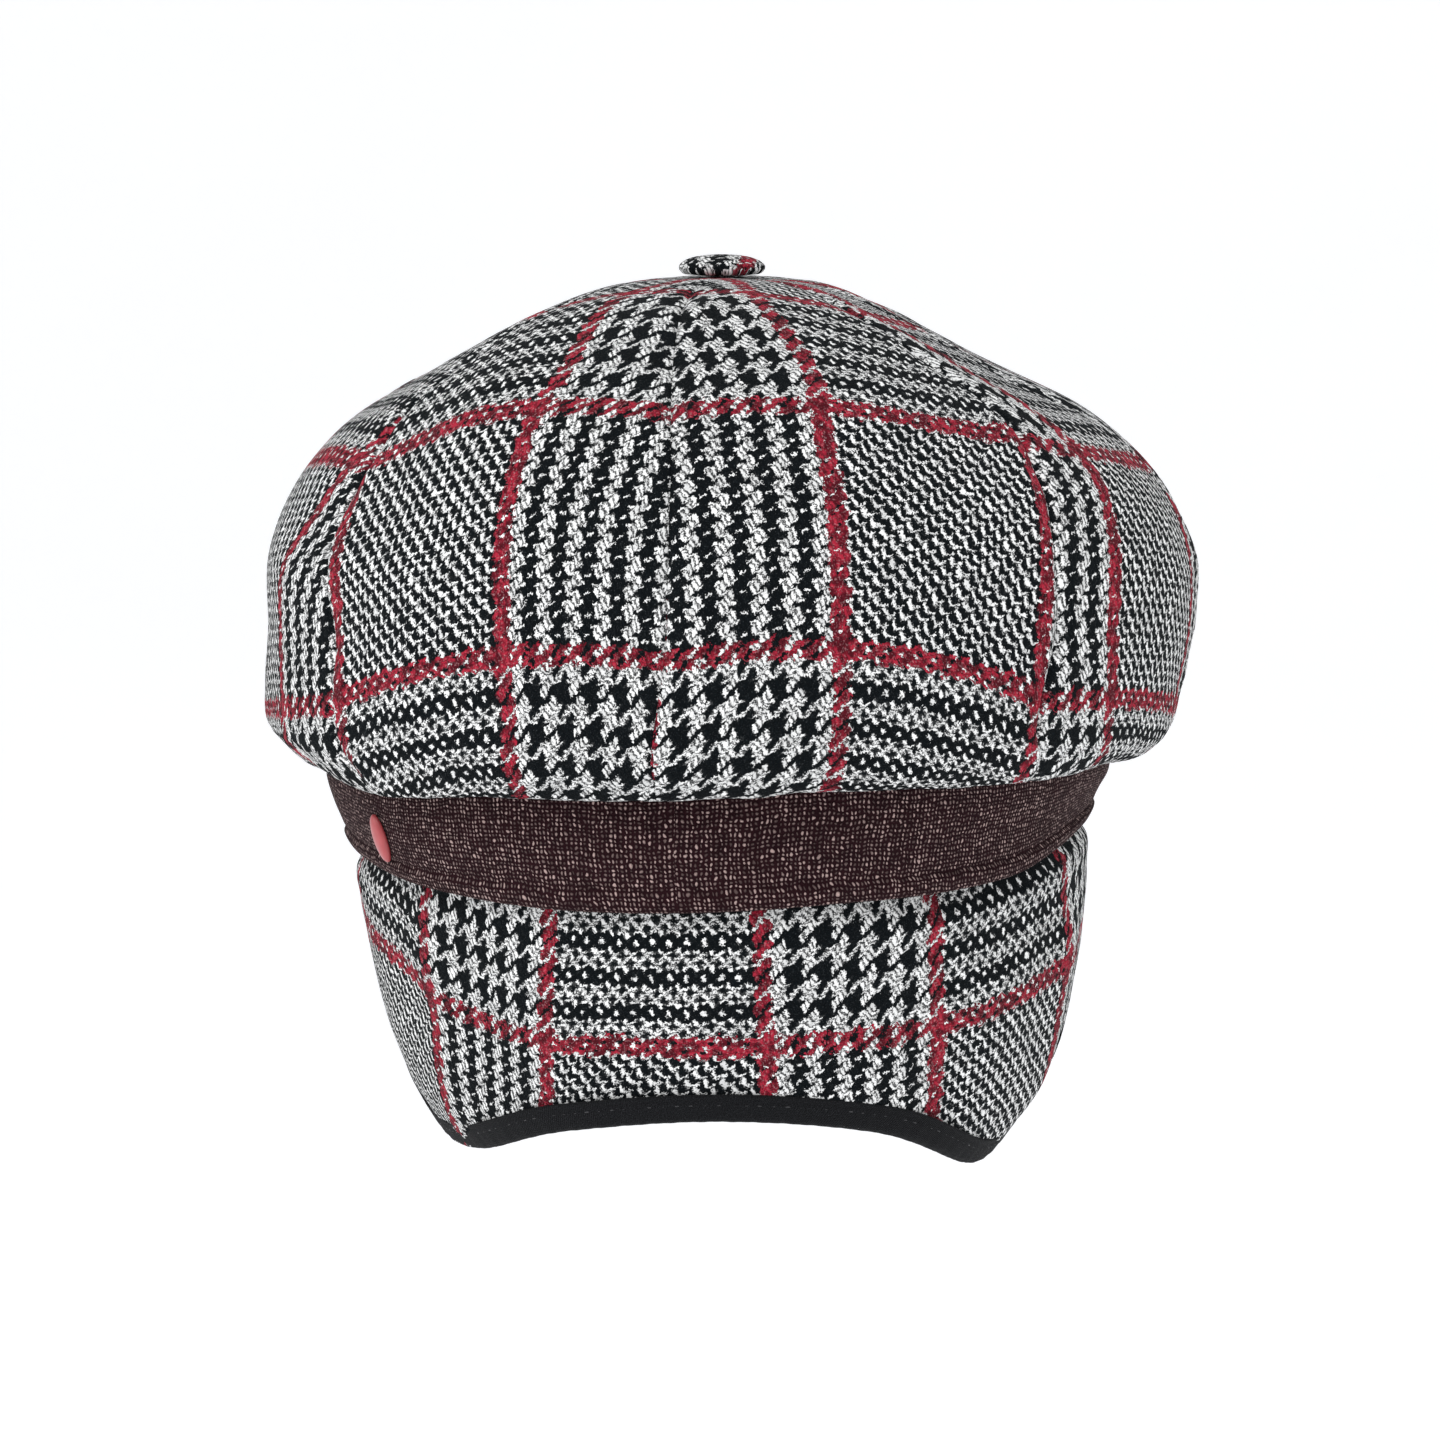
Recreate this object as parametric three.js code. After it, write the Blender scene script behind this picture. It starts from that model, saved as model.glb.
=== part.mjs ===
// A soft eight-panel cap with a covered button, a woven band, a neck and ear flap
// with a bound edge, a short peak and a small stud, in its worn form.
//
// Millimetres. +Z is up, +Y is the front, where the peak is, and +X is the wearer's right.
// The origin is the middle of the head opening, level with the lower edge of the band.
// A turn is an angle about +Z that starts at the back and goes towards +X.

import * as THREE from 'three';

// Rows of numbers with a name for each column, so that the shape's tables stay short.
function asTable(names, rows) {
  const keys = names.split(' ');
  return rows.map((row) => Object.fromEntries(keys.map((key, place) => [key, row[place]])));
}

const clothThickness = 2;
const bandThickness = 2.2;
const peakThickness = 3.2;
const clearance = 0.3;

// The crown's panels meet under the button, which sits a little behind the middle of the head.
// Each panel lies between two neighbouring seams, and the two behind are the widest.
const seamTurns = [-2.5, 46.5, 90, 134, 177.5, 221, 265, 308.5, 357.5];
const seamDip = 1.8;

// The seams on both sides of the two back panels bend away from their turns by these degrees.
const rightSeam = 1;
const leftSeam = 7;
const seamBends = asTable('run right left', [
  [0, 3, 0],
  [60, 6, 0],
  [85, 8, 0],
  [105, 4.4, -0.5],
  [126, 0, -2.3],
  [145, -0.6, -0.7],
  [163, -0.6, 1.2],
  [172, 1.5, 3.5],
  [195, 7, 6],
]);
const tipRun = 2.2;
const rimRun = 171;

// Rings of the crown, from its top to the edge that is sewn to the band.
// run is measured along the cloth from the button. half, back and front are the ring's
// half width and its reach behind and before the origin, mid_x and mid_y its middle,
// and z_side, z_back and z_front its height there. lift is the share of the band's upper
// lift that the ring takes.
const crownRings = asTable('run half mid_x mid_y back front z_side z_back z_front lift', [
  [0, 0.01, 3.2, -15, 15.01, -14.99, 129, 129, 129, 0],
  [25, 24.6, 2.9, -15, 40, 10, 126.8, 128.8, 128.2, 0],
  [50, 48, 1.4, -15, 65, 35, 117, 126.2, 124.4, 0],
  [72, 68, 1.9, -14, 85.5, 56.5, 106.2, 116.8, 116.6, 0],
  [92, 85.2, 3.5, -13, 102, 76, 95.8, 105.4, 108.6, 0],
  [110, 97.6, 5, -12, 112.6, 91, 83.2, 90.6, 99.2, 0],
  [128, 105.1, 5.4, -10, 119, 104, 67.4, 73.6, 86.8, 0],
  [145, 105.3, 5.3, -8, 121.6, 112.4, 50.6, 56.6, 72, 0],
  [160, 104.1, 3.1, -6, 121.6, 116.4, 36.2, 41.6, 57.6, 0.1],
  [171, 102.7, 1.8, -5, 119.6, 117.2, 27.4, 31.2, 46.6, 0.4],
  [178, 97.8, 2.1, -4, 116.2, 116.4, 22.8, 25.6, 39.6, 0.7],
  [185, 92.8, 1.8, -2, 111.4, 113.6, 20.3, 22.7, 32.8, 1],
  [191, 89.9, 1.2, 0, 107.4, 108.6, 21.4, 24.2, 26, 1],
  [195, 87, 1.2, 0, 103.8, 103.8, 21.4, 24.2, 24.5, 1],
]);

// Rings of the band, from its lower edge to its upper one.
const bandRings = asTable('level half mid_x mid_y back front z_side z_back z_front', [
  [0, 84.2, 2, 0, 103.6, 103.6, 2.5, -2.8, 0],
  [0.12, 85.3, 1.6, 0, 104.8, 104.4, 4.6, 0.3, 2.9],
  [0.3, 86.2, 1.2, 0, 105.2, 104.8, 7.9, 5, 7.2],
  [0.5, 87.6, 0.9, 0, 105.4, 105, 11.5, 10.2, 12],
  [0.75, 89.4, 1.1, 0, 105.6, 105.4, 16.1, 16.8, 18],
  [1, 90, 1.2, 0, 105.8, 105.8, 20.6, 23.4, 24],
]);

// The cap does not hang level. By turn, the band's upper and lower edge lie higher than in
// its rings by these lifts.
const edgeLifts = asTable('turn upper lower', [
  [-180, 0, 0],
  [-150, 0, -0.5],
  [-120, -0.8, -2],
  [-90, -0.5, -2.6],
  [-72, -0.2, -1.6],
  [-60, -1.4, -1.7],
  [-47, -3, -1.9],
  [-36, -1.8, -1.6],
  [-24, -0.6, -1.2],
  [0, 0, 0],
  [22, 1.7, 0.5],
  [40, 1.3, -0.6],
  [56, 1.4, -0.9],
  [66, 1.6, 1],
  [78, 0.8, 3.2],
  [90, -1, 4.4],
  [120, -0.5, 1.8],
  [150, 0, 0.3],
  [180, 0, 0],
]);

// The flap follows this shape by its height above the band's lower edge. It curves in under
// the back of the head.
const flapRings = asTable('rise half mid_x back front', [
  [-84, 51, 6, 64, 84],
  [-76, 58.3, 5.8, 70.5, 86],
  [-68, 65.1, 5.5, 76.8, 90],
  [-60, 70.7, 5.3, 83, 94],
  [-52, 75.1, 4.6, 87.6, 97],
  [-42, 78.4, 4.1, 92, 99],
  [-30, 81.4, 3.8, 96.8, 100.4],
  [-20, 83, 2.8, 99.6, 101.2],
  [-12, 83.6, 2.3, 100.8, 101.4],
  [-6, 83.7, 2.1, 101.6, 101.4],
  [-2, 81.2, 1.4, 100.7, 100.7],
  [0, 80.6, 1, 100.6, 100.6],
  [10, 80.4, 1, 100.6, 100.6],
]);

// The flap starts inside the band, at flapTop above the band's lower edge. It bulges out from
// flapBulge downwards. flapTuck is the share of its rows above that.
const flapTop = 8;
const flapBulge = -2;
const flapTuck = 0.14;
const flapColumns = 60;

// Height of the flap's lower edge by turn: an arch over the nape, a corner behind each ear
// and a rise to the band at each temple.
const flapEdge = asTable('turn z', [
  [-124, -9],
  [-112, -27],
  [-95, -50],
  [-75, -63],
  [-50, -63],
  [-22, -53],
  [4, -49],
  [30, -53.5],
  [57, -66.5],
  [76, -65.5],
  [95, -50],
  [112, -27],
  [124, -9],
]);

// The binding is a folded strip round the flap's lower edge.
const bindingWidth = 6;
const bindingPly = 0.8;
const bindingEase = 0.45;

const peakHalfWidth = 78;
const peakReach = 156;
const peakFullness = 0.84;
const peakRoot = 50;
const peakSpan = 57;
const peakSlope = 0.42;
const peakEase = 10;
const peakSag = 6;
const peakLevel = 4.6;

const buttonRadius = 9.8;
const buttonHeight = 4.4;
const buttonSeat = 129.5;

const studTurn = -51;
const studLevel = 0.46;
const studHalfWidth = 2.7;
const studHalfHeight = 5.6;
const studRise = 1.7;

const radians = THREE.MathUtils.degToRad;

// A smooth curve through the rows of a table, for every column but the key.
function readTable(rows, key, value) {
  const last = rows.length - 1;
  let row = 0;
  while (row < last - 1 && value > rows[row + 1][key]) row += 1;
  const before = rows[Math.max(row - 1, 0)];
  const start = rows[row];
  const end = rows[row + 1];
  const after = rows[Math.min(row + 2, last)];
  const step = end[key] - start[key];
  const part = THREE.MathUtils.clamp((value - start[key]) / step, 0, 1);
  const square = part * part;
  const cube = square * part;
  const result = {};
  for (const column of Object.keys(start)) {
    const startSlope = (end[column] - before[column]) / (end[key] - before[key]);
    const endSlope = (after[column] - start[column]) / (after[key] - start[key]);
    result[column] = start[column] * (2 * cube - 3 * square + 1)
      + end[column] * (3 * square - 2 * cube)
      + startSlope * step * (cube - 2 * square + part)
      + endSlope * step * (cube - square);
  }
  return result;
}

// The point of an oval ring at a turn. The back and the front have their own reach and height.
function ringPoint(ring, turn) {
  const sine = Math.sin(radians(turn));
  const cosine = Math.cos(radians(turn));
  const reach = cosine > 0 ? ring.back + ring.mid_y : ring.front - ring.mid_y;
  const endHeight = cosine > 0 ? ring.z_back : ring.z_front;
  return new THREE.Vector3(
    ring.mid_x + ring.half * sine,
    ring.mid_y - reach * cosine,
    ring.z_side + (endHeight - ring.z_side) * cosine * cosine,
  );
}

// The lifts of the band's two edges at any turn, which may be more than half a turn.
function edgeLift(turn) {
  const wrapped = THREE.MathUtils.euclideanModulo(turn + 180, 360) - 180;
  return readTable(edgeLifts, 'turn', wrapped);
}

// The crown's outer face on one of its rings, before the seams' dip.
function crownPoint(ring, turn) {
  const point = ringPoint(ring, turn);
  point.z += ring.lift * edgeLift(turn).upper;
  return point;
}

function evenStops(count) {
  return Array.from({ length: count + 1 }, (unused, index) => index / count);
}

// Turns a point function of two values from 0 to 1 into a closed cloth of even thickness.
// The first value runs across in even columns, the second takes the given stops.
// The normal, along x across, points out of the cap, and the cloth lies inside it.
function clothGeometry(pointAt, columns, stops, thickness, ring = false) {
  const probe = 1e-4;
  const rows = stops.length - 1;
  const vertices = [];
  const perRow = ring ? columns : columns + 1;
  const layerSize = perRow * (rows + 1);
  const layers = [0, thickness];
  for (const depth of layers) {
    for (let j = 0; j <= rows; j += 1) {
      for (let i = 0; i < perRow; i += 1) {
        const u = i / columns;
        const v = stops[j];
        const lowV = Math.max(v - probe, 0);
        const highV = Math.min(v + probe, 1);
        const along = pointAt(u, highV).sub(pointAt(u, lowV));
        const lowU = ring ? u - probe : Math.max(u - probe, 0);
        const highU = ring ? u + probe : Math.min(u + probe, 1);
        const across = pointAt(highU, v).sub(pointAt(lowU, v));
        const normal = along.cross(across).normalize();
        const point = pointAt(u, v).addScaledVector(normal, -depth);
        vertices.push(point.x, point.y, point.z);
      }
    }
  }
  const at = (i, j, layer) => layer * layerSize + j * perRow + (ring ? i % columns : i);
  const faces = [];
  const quad = (a, b, c, d) => faces.push(a, b, c, a, c, d);
  for (let j = 0; j < rows; j += 1) {
    for (let i = 0; i < columns; i += 1) {
      quad(at(i, j, 0), at(i, j + 1, 0), at(i + 1, j + 1, 0), at(i + 1, j, 0));
      quad(at(i, j, 1), at(i + 1, j, 1), at(i + 1, j + 1, 1), at(i, j + 1, 1));
    }
  }
  for (let i = 0; i < columns; i += 1) {
    quad(at(i, 0, 0), at(i + 1, 0, 0), at(i + 1, 0, 1), at(i, 0, 1));
    quad(at(i, rows, 0), at(i, rows, 1), at(i + 1, rows, 1), at(i + 1, rows, 0));
  }
  if (!ring) {
    for (let j = 0; j < rows; j += 1) {
      quad(at(0, j, 0), at(0, j, 1), at(0, j + 1, 1), at(0, j + 1, 0));
      quad(at(columns, j, 0), at(columns, j + 1, 0), at(columns, j + 1, 1), at(columns, j, 1));
    }
  }
  const geometry = new THREE.BufferGeometry();
  geometry.setAttribute('position', new THREE.Float32BufferAttribute(vertices, 3));
  geometry.setIndex(faces);
  geometry.computeVertexNormals();
  return geometry;
}

// The turn of a seam at a distance from the button.
function seamTurn(index, run) {
  const bend = readTable(seamBends, 'run', run);
  if (index === rightSeam) return seamTurns[index] + bend.right;
  if (index === leftSeam) return seamTurns[index] + bend.left;
  return seamTurns[index];
}

// One gore of the crown. It dips into the seams on both sides.
function crownPanelGeometry(index) {
  const endRun = crownRings[crownRings.length - 1].run;
  const stopAt = (run) => (run - tipRun) / (endRun - tipRun);
  const stops = [0];
  for (let i = 1; i < crownRings.length; i += 1) {
    const { run } = crownRings[i];
    if (run <= rimRun) stops.push(stopAt((Math.max(crownRings[i - 1].run, tipRun) + run) / 2));
    stops.push(stopAt(run));
  }
  const pointAt = (u, v) => {
    const run = tipRun + (endRun - tipRun) * v;
    const ring = readTable(crownRings, 'run', run);
    const startTurn = seamTurn(index - 1, run);
    const span = seamTurn(index, run) - startTurn;
    const width = radians(span) * (ring.half + ring.back + ring.mid_y) / 2;
    const inset = clearance / 2 / width;
    const part = inset + (1 - 2 * inset) * u;
    const fullness = Math.sin(Math.PI * Math.min(v * 1.06, 1));
    const dip = seamDip * fullness * Math.abs(2 * part - 1) ** 4;
    const point = crownPoint(ring, startTurn + span * part);
    const outward = new THREE.Vector3(point.x - ring.mid_x, point.y - ring.mid_y, 0).normalize();
    return point.addScaledVector(outward, -dip);
  };
  return clothGeometry(pointAt, 6, stops, clothThickness);
}

// The band's outer face at a turn and a share of its height.
function bandPoint(turn, level) {
  const point = ringPoint(readTable(bandRings, 'level', level), turn);
  const { upper, lower } = edgeLift(turn);
  point.z += lower + (upper - lower) * level;
  return point;
}

function bandGeometry() {
  const pointAt = (u, v) => bandPoint(360 * u, 1 - v);
  return clothGeometry(pointAt, 72, evenStops(4), bandThickness, true);
}

// The flap's outer face at a turn and a height.
function flapPoint(turn, height) {
  const ring = readTable(flapRings, 'rise', height - bandPoint(turn, 0).z);
  return ringPoint({ ...ring, mid_y: 0, z_side: height, z_back: height, z_front: height }, turn);
}

function flapTurn(part) {
  const edge = flapEdge[flapEdge.length - 1].turn;
  return edge * (2 * part - 1);
}

function flapGeometry() {
  const pointAt = (u, v) => {
    const turn = flapTurn(u);
    const edge = readTable(flapEdge, 'turn', turn).z;
    const hem = bandPoint(turn, 0).z;
    const tucked = flapTop + (flapBulge - flapTop) * Math.min(v / flapTuck, 1);
    const free = Math.max((v - flapTuck) / (1 - flapTuck), 0);
    return flapPoint(turn, hem + tucked + (edge - hem - flapBulge) * free);
  };
  const stops = [0, flapTuck, 0.21, 0.32, 0.46, 0.6, 0.73, 0.85, 0.94, 1];
  return clothGeometry(pointAt, flapColumns, stops, clothThickness);
}

// The flap's outer face near a point, with its directions for one degree and one millimetre up.
function flapFrame(turn, height) {
  const probe = 0.01;
  const side = flapPoint(turn + probe, height).sub(flapPoint(turn - probe, height));
  const rise = flapPoint(turn, height + probe).sub(flapPoint(turn, height - probe));
  side.divideScalar(2 * probe);
  rise.divideScalar(2 * probe);
  return { side, rise, normal: side.clone().cross(rise).normalize() };
}

// A place on the binding: a distance along the cloth past the flap's edge, square to it,
// and a distance out from the flap's outer face.
function bindingPoint(turn, past, out) {
  const heightAt = (angle) => readTable(flapEdge, 'turn', angle).z;
  const height = heightAt(turn);
  const { side, rise, normal } = flapFrame(turn, height);
  const ahead = Math.min(turn + 1, flapTurn(1));
  const behind = Math.max(turn - 1, flapTurn(0));
  const run = flapPoint(ahead, heightAt(ahead)).sub(flapPoint(behind, heightAt(behind))).normalize();
  const down = run.clone().cross(normal).normalize();
  const shear = side.dot(rise);
  const area = side.lengthSq() * rise.lengthSq() - shear * shear;
  const turnStep = (down.dot(side) * rise.lengthSq() - down.dot(rise) * shear) / area;
  const heightStep = (down.dot(rise) * side.lengthSq() - down.dot(side) * shear) / area;
  const placeTurn = turn + turnStep * past;
  const placeHeight = height + heightStep * past;
  const place = flapPoint(placeTurn, placeHeight);
  return place.addScaledVector(flapFrame(placeTurn, placeHeight).normal, out);
}

// The binding's section is a narrow U, open upwards, that holds the flap's edge.
function bindingGeometry() {
  const outer = bindingPly + bindingEase;
  const inner = -clothThickness - bindingEase;
  const sole = bindingEase;
  const foot = sole + bindingPly;
  const grip = foot - bindingWidth;
  const section = [
    { out: outer, past: grip },
    { out: outer, past: sole },
    { out: outer - bindingPly, past: foot },
    { out: inner, past: foot },
    { out: inner - bindingPly, past: sole },
    { out: inner - bindingPly, past: grip },
    { out: inner, past: grip },
    { out: inner, past: sole },
    { out: outer - bindingPly, past: sole },
    { out: outer - bindingPly, past: grip },
  ];
  const vertices = [];
  for (let i = 0; i <= flapColumns; i += 1) {
    for (const corner of section) {
      const place = bindingPoint(flapTurn(i / flapColumns), corner.past, corner.out);
      vertices.push(place.x, place.y, place.z);
    }
  }
  const count = section.length;
  const faces = [];
  for (let i = 0; i < flapColumns; i += 1) {
    for (let j = 0; j < count; j += 1) {
      const a = i * count + j;
      const b = i * count + (j + 1) % count;
      faces.push(a, b, b + count, a, b + count, a + count);
    }
  }
  const outline = section.map((corner) => new THREE.Vector2(corner.out, corner.past));
  for (const [a, b, c] of THREE.ShapeUtils.triangulateShape(outline, [])) {
    const end = flapColumns * count;
    faces.push(a, c, b, end + a, end + b, end + c);
  }
  const geometry = new THREE.BufferGeometry();
  geometry.setAttribute('position', new THREE.Float32BufferAttribute(vertices, 3));
  geometry.setIndex(faces);
  geometry.computeVertexNormals();
  return geometry;
}

// A crescent from the band's lower front edge, sloping down and bent over from side to side.
function peakGeometry() {
  const pointAt = (u, v) => {
    const part = 1 - 2 * u;
    const root = bandPoint(180 - peakSpan * part, 0.2);
    const rootOut = new THREE.Vector3(root.x, root.y, 0).normalize();
    const inner = new THREE.Vector2(root.x, root.y).addScaledVector(rootOut, clearance + 0.1);
    const sweep = radians(87 * part);
    const outer = new THREE.Vector2(
      peakHalfWidth * Math.sign(part) * Math.abs(Math.sin(sweep)) ** peakFullness,
      peakRoot + (peakReach - peakRoot) * Math.cos(sweep) ** peakFullness,
    );
    const place = inner.clone().lerp(outer, v);
    const away = place.distanceTo(inner);
    const drop = peakSlope * away ** 2 / (away + peakEase);
    const bend = peakSag * v * v * (place.x / peakHalfWidth) ** 2;
    return new THREE.Vector3(place.x, place.y, peakLevel - drop - bend);
  };
  return clothGeometry(pointAt, 28, evenStops(6), peakThickness);
}

// A domed disc, flat below.
function buttonGeometry() {
  const rim = 1.6;
  const profile = [new THREE.Vector2(0, 0), new THREE.Vector2(buttonRadius - 1.2, 0)];
  const steps = 6;
  for (let i = 0; i <= steps; i += 1) {
    const angle = radians(90 * i / steps);
    const radius = i === steps ? 0 : buttonRadius * Math.cos(angle) ** 0.8;
    profile.push(new THREE.Vector2(radius, rim + (buttonHeight - rim) * Math.sin(angle)));
  }
  return new THREE.LatheGeometry(profile, 28);
}

// A small oval dome, flat on the side that lies on the band.
function studGeometry() {
  const profile = [
    new THREE.Vector2(0, 0),
    new THREE.Vector2(studHalfWidth, 0),
    new THREE.Vector2(studHalfWidth, 0.5),
    new THREE.Vector2(studHalfWidth * 0.82, studRise * 0.75),
    new THREE.Vector2(studHalfWidth * 0.45, studRise * 0.95),
    new THREE.Vector2(0, studRise),
  ];
  const geometry = new THREE.LatheGeometry(profile, 20);
  geometry.scale(1, 1, studHalfHeight / studHalfWidth);
  return geometry;
}

const tweed = new THREE.MeshStandardMaterial({ color: 0x77777a, roughness: 0.95, metalness: 0 });
const hopsack = new THREE.MeshStandardMaterial({ color: 0x3a2426, roughness: 0.9, metalness: 0 });
const blackTape = new THREE.MeshStandardMaterial({ color: 0x16161a, roughness: 0.8, metalness: 0 });
const redEnamel = new THREE.MeshStandardMaterial({ color: 0xa32a35, roughness: 0.35, metalness: 0 });

function addPiece(parent, name, geometry, material) {
  const piece = new THREE.Mesh(geometry, material);
  piece.name = name;
  parent.add(piece);
  return piece;
}

const cap = new THREE.Group();
const crown = new THREE.Group();
cap.add(crown);

for (let index = 1; index < seamTurns.length; index += 1) {
  addPiece(crown, `crown_panel_${index}`, crownPanelGeometry(index), tweed);
}

const button = addPiece(crown, 'button', buttonGeometry(), tweed);
button.rotation.x = radians(90);
button.position.set(crownRings[0].mid_x, crownRings[0].mid_y, buttonSeat);

addPiece(cap, 'band', bandGeometry(), hopsack);
addPiece(cap, 'flap', flapGeometry(), tweed);
addPiece(cap, 'flap_binding', bindingGeometry(), blackTape);
addPiece(cap, 'peak', peakGeometry(), tweed);

// The stud stands on the band's outer face, with its long way up the band.
const studPlace = bandPoint(studTurn, studLevel);
const studLevelStep = 0.1;
const studAbove = bandPoint(studTurn, studLevel + studLevelStep);
const studBelow = bandPoint(studTurn, studLevel - studLevelStep);
const studUp = studAbove.sub(studBelow).normalize();
const studSide = bandPoint(studTurn + 1, studLevel).sub(bandPoint(studTurn - 1, studLevel)).normalize();
const studOut = studSide.clone().cross(studUp).normalize();
const stud = addPiece(cap, 'stud', studGeometry(), redEnamel);
stud.position.copy(studPlace).addScaledVector(studOut, clearance);
stud.quaternion.setFromRotationMatrix(
  new THREE.Matrix4().makeBasis(studOut.clone().cross(studUp), studOut, studUp),
);

export default cap;
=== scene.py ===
# %% [markdown]
# # A tweed cap with a neck and ear flap
#
# The CAD model gives this cap's plain pieces: eight crown panels, a button, a band, a flap with
# its binding, a peak and a small stud. This script keeps every piece where it is and turns each one
# into cloth, tape or enamel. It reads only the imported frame, so it gives the same cap on every run.
#
# Lengths in the tables are millimetres, as a pattern cutter would write them, and they become metres
# when a mesh is made. +Z is up, +Y is the front, +X is the wearer's right. A turn is an angle in
# degrees about +Z, from the back towards +X.

import bmesh
import bpy
import numpy as np
from mathutils import Matrix, Vector, noise


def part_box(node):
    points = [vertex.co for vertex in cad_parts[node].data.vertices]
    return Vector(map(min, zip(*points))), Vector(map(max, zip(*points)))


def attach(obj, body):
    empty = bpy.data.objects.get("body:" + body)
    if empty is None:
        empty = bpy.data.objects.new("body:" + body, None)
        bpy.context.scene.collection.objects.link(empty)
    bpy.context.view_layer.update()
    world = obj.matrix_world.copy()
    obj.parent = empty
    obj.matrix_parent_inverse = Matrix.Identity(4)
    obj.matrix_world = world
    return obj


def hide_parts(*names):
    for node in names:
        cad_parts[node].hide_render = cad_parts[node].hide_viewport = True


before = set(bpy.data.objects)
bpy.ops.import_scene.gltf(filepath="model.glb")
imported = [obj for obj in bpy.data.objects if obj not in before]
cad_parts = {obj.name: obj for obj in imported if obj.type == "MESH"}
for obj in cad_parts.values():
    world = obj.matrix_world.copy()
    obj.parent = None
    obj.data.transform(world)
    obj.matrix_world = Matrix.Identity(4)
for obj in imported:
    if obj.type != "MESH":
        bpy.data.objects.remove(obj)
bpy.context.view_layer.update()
print("CAD nodes:", ", ".join(sorted(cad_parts)))

# %% [markdown]
# ## The cap's shape as smooth rings
#
# The faceted solids were lofted through a few oval rings. Reading the same rings as smooth curves
# gives each place on the cloth, however finely it is divided, and it also says how far along the
# cloth that place lies, which the weave needs. A curve passes through every row of its table, with
# the slope that the rows on both sides give it.

# %% Tables read as smooth curves
MILLIMETRE = 0.001


class Curves:
    """A table whose first column is the key and whose other columns are smooth curves of it."""

    def __init__(self, names, rows):
        self.names = names.split()[1:]
        table = np.array(rows, float)
        self.keys = table[:, 0]
        self.values = table[:, 1:]
        last = len(table) - 1
        ahead = np.minimum(np.arange(last + 1) + 1, last)
        behind = np.maximum(np.arange(last + 1) - 1, 0)
        rises = self.values[ahead] - self.values[behind]
        self.slopes = rises / (self.keys[ahead] - self.keys[behind])[:, None]

    def at(self, key):
        key = np.asarray(key, float)
        row = np.clip(np.searchsorted(self.keys, key) - 1, 0, len(self.keys) - 2)
        step = self.keys[row + 1] - self.keys[row]
        part = np.clip((key - self.keys[row]) / step, 0, 1)[..., None]
        step = step[..., None]
        cubic = 3 * part**2 - 2 * part**3
        result = self.values[row] * (1 - cubic) + self.values[row + 1] * cubic
        result += self.slopes[row] * step * (part**3 - 2 * part**2 + part)
        result += self.slopes[row + 1] * step * (part**3 - part**2)
        return {name: result[..., place] for place, name in enumerate(self.names)}


def ring_point(ring, turn):
    """The point of an oval ring at a turn. The back and the front have their own reach and height."""
    sine = np.sin(np.radians(turn))
    cosine = np.cos(np.radians(turn))
    behind = cosine > 0
    reach = np.where(behind, ring["back"] + ring["mid_y"], ring["front"] - ring["mid_y"])
    end_height = np.where(behind, ring["z_back"], ring["z_front"])
    x = ring["mid_x"] + ring["half"] * sine
    y = ring["mid_y"] - reach * cosine
    z = ring["z_side"] + (end_height - ring["z_side"]) * cosine**2
    return np.stack([x, y, z], axis=-1)


crown_rings = Curves(
    "run half mid_x mid_y back front z_side z_back z_front lift",
    [
        (0, 0.01, 3.2, -15, 15.01, -14.99, 129, 129, 129, 0),
        (25, 24.6, 2.9, -15, 40, 10, 126.8, 128.8, 128.2, 0),
        (50, 48, 1.4, -15, 65, 35, 117, 126.2, 124.4, 0),
        (72, 68, 1.9, -14, 85.5, 56.5, 106.2, 116.8, 116.6, 0),
        (92, 85.2, 3.5, -13, 102, 76, 95.8, 105.4, 108.6, 0),
        (110, 97.6, 5, -12, 112.6, 91, 83.2, 90.6, 99.2, 0),
        (128, 105.1, 5.4, -10, 119, 104, 67.4, 73.6, 86.8, 0),
        (145, 105.3, 5.3, -8, 121.6, 112.4, 50.6, 56.6, 72, 0),
        (160, 104.1, 3.1, -6, 121.6, 116.4, 36.2, 41.6, 57.6, 0.1),
        (171, 102.7, 1.8, -5, 119.6, 117.2, 27.4, 31.2, 46.6, 0.4),
        (178, 97.8, 2.1, -4, 116.2, 116.4, 22.8, 25.6, 39.6, 0.7),
        (185, 92.8, 1.8, -2, 111.4, 113.6, 20.3, 22.7, 32.8, 1),
        (191, 89.9, 1.2, 0, 107.4, 108.6, 21.4, 24.2, 26, 1),
        (195, 87, 1.2, 0, 103.8, 103.8, 21.4, 24.2, 24.5, 1),
    ],
)
band_rings = Curves(
    "level half mid_x mid_y back front z_side z_back z_front",
    [
        (0, 84.2, 2, 0, 103.6, 103.6, 2.5, -2.8, 0),
        (0.12, 85.3, 1.6, 0, 104.8, 104.4, 4.6, 0.3, 2.9),
        (0.3, 86.2, 1.2, 0, 105.2, 104.8, 7.9, 5, 7.2),
        (0.5, 87.6, 0.9, 0, 105.4, 105, 11.5, 10.2, 12),
        (0.75, 89.4, 1.1, 0, 105.6, 105.4, 16.1, 16.8, 18),
        (1, 90, 1.2, 0, 105.8, 105.8, 20.6, 23.4, 24),
    ],
)

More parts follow.
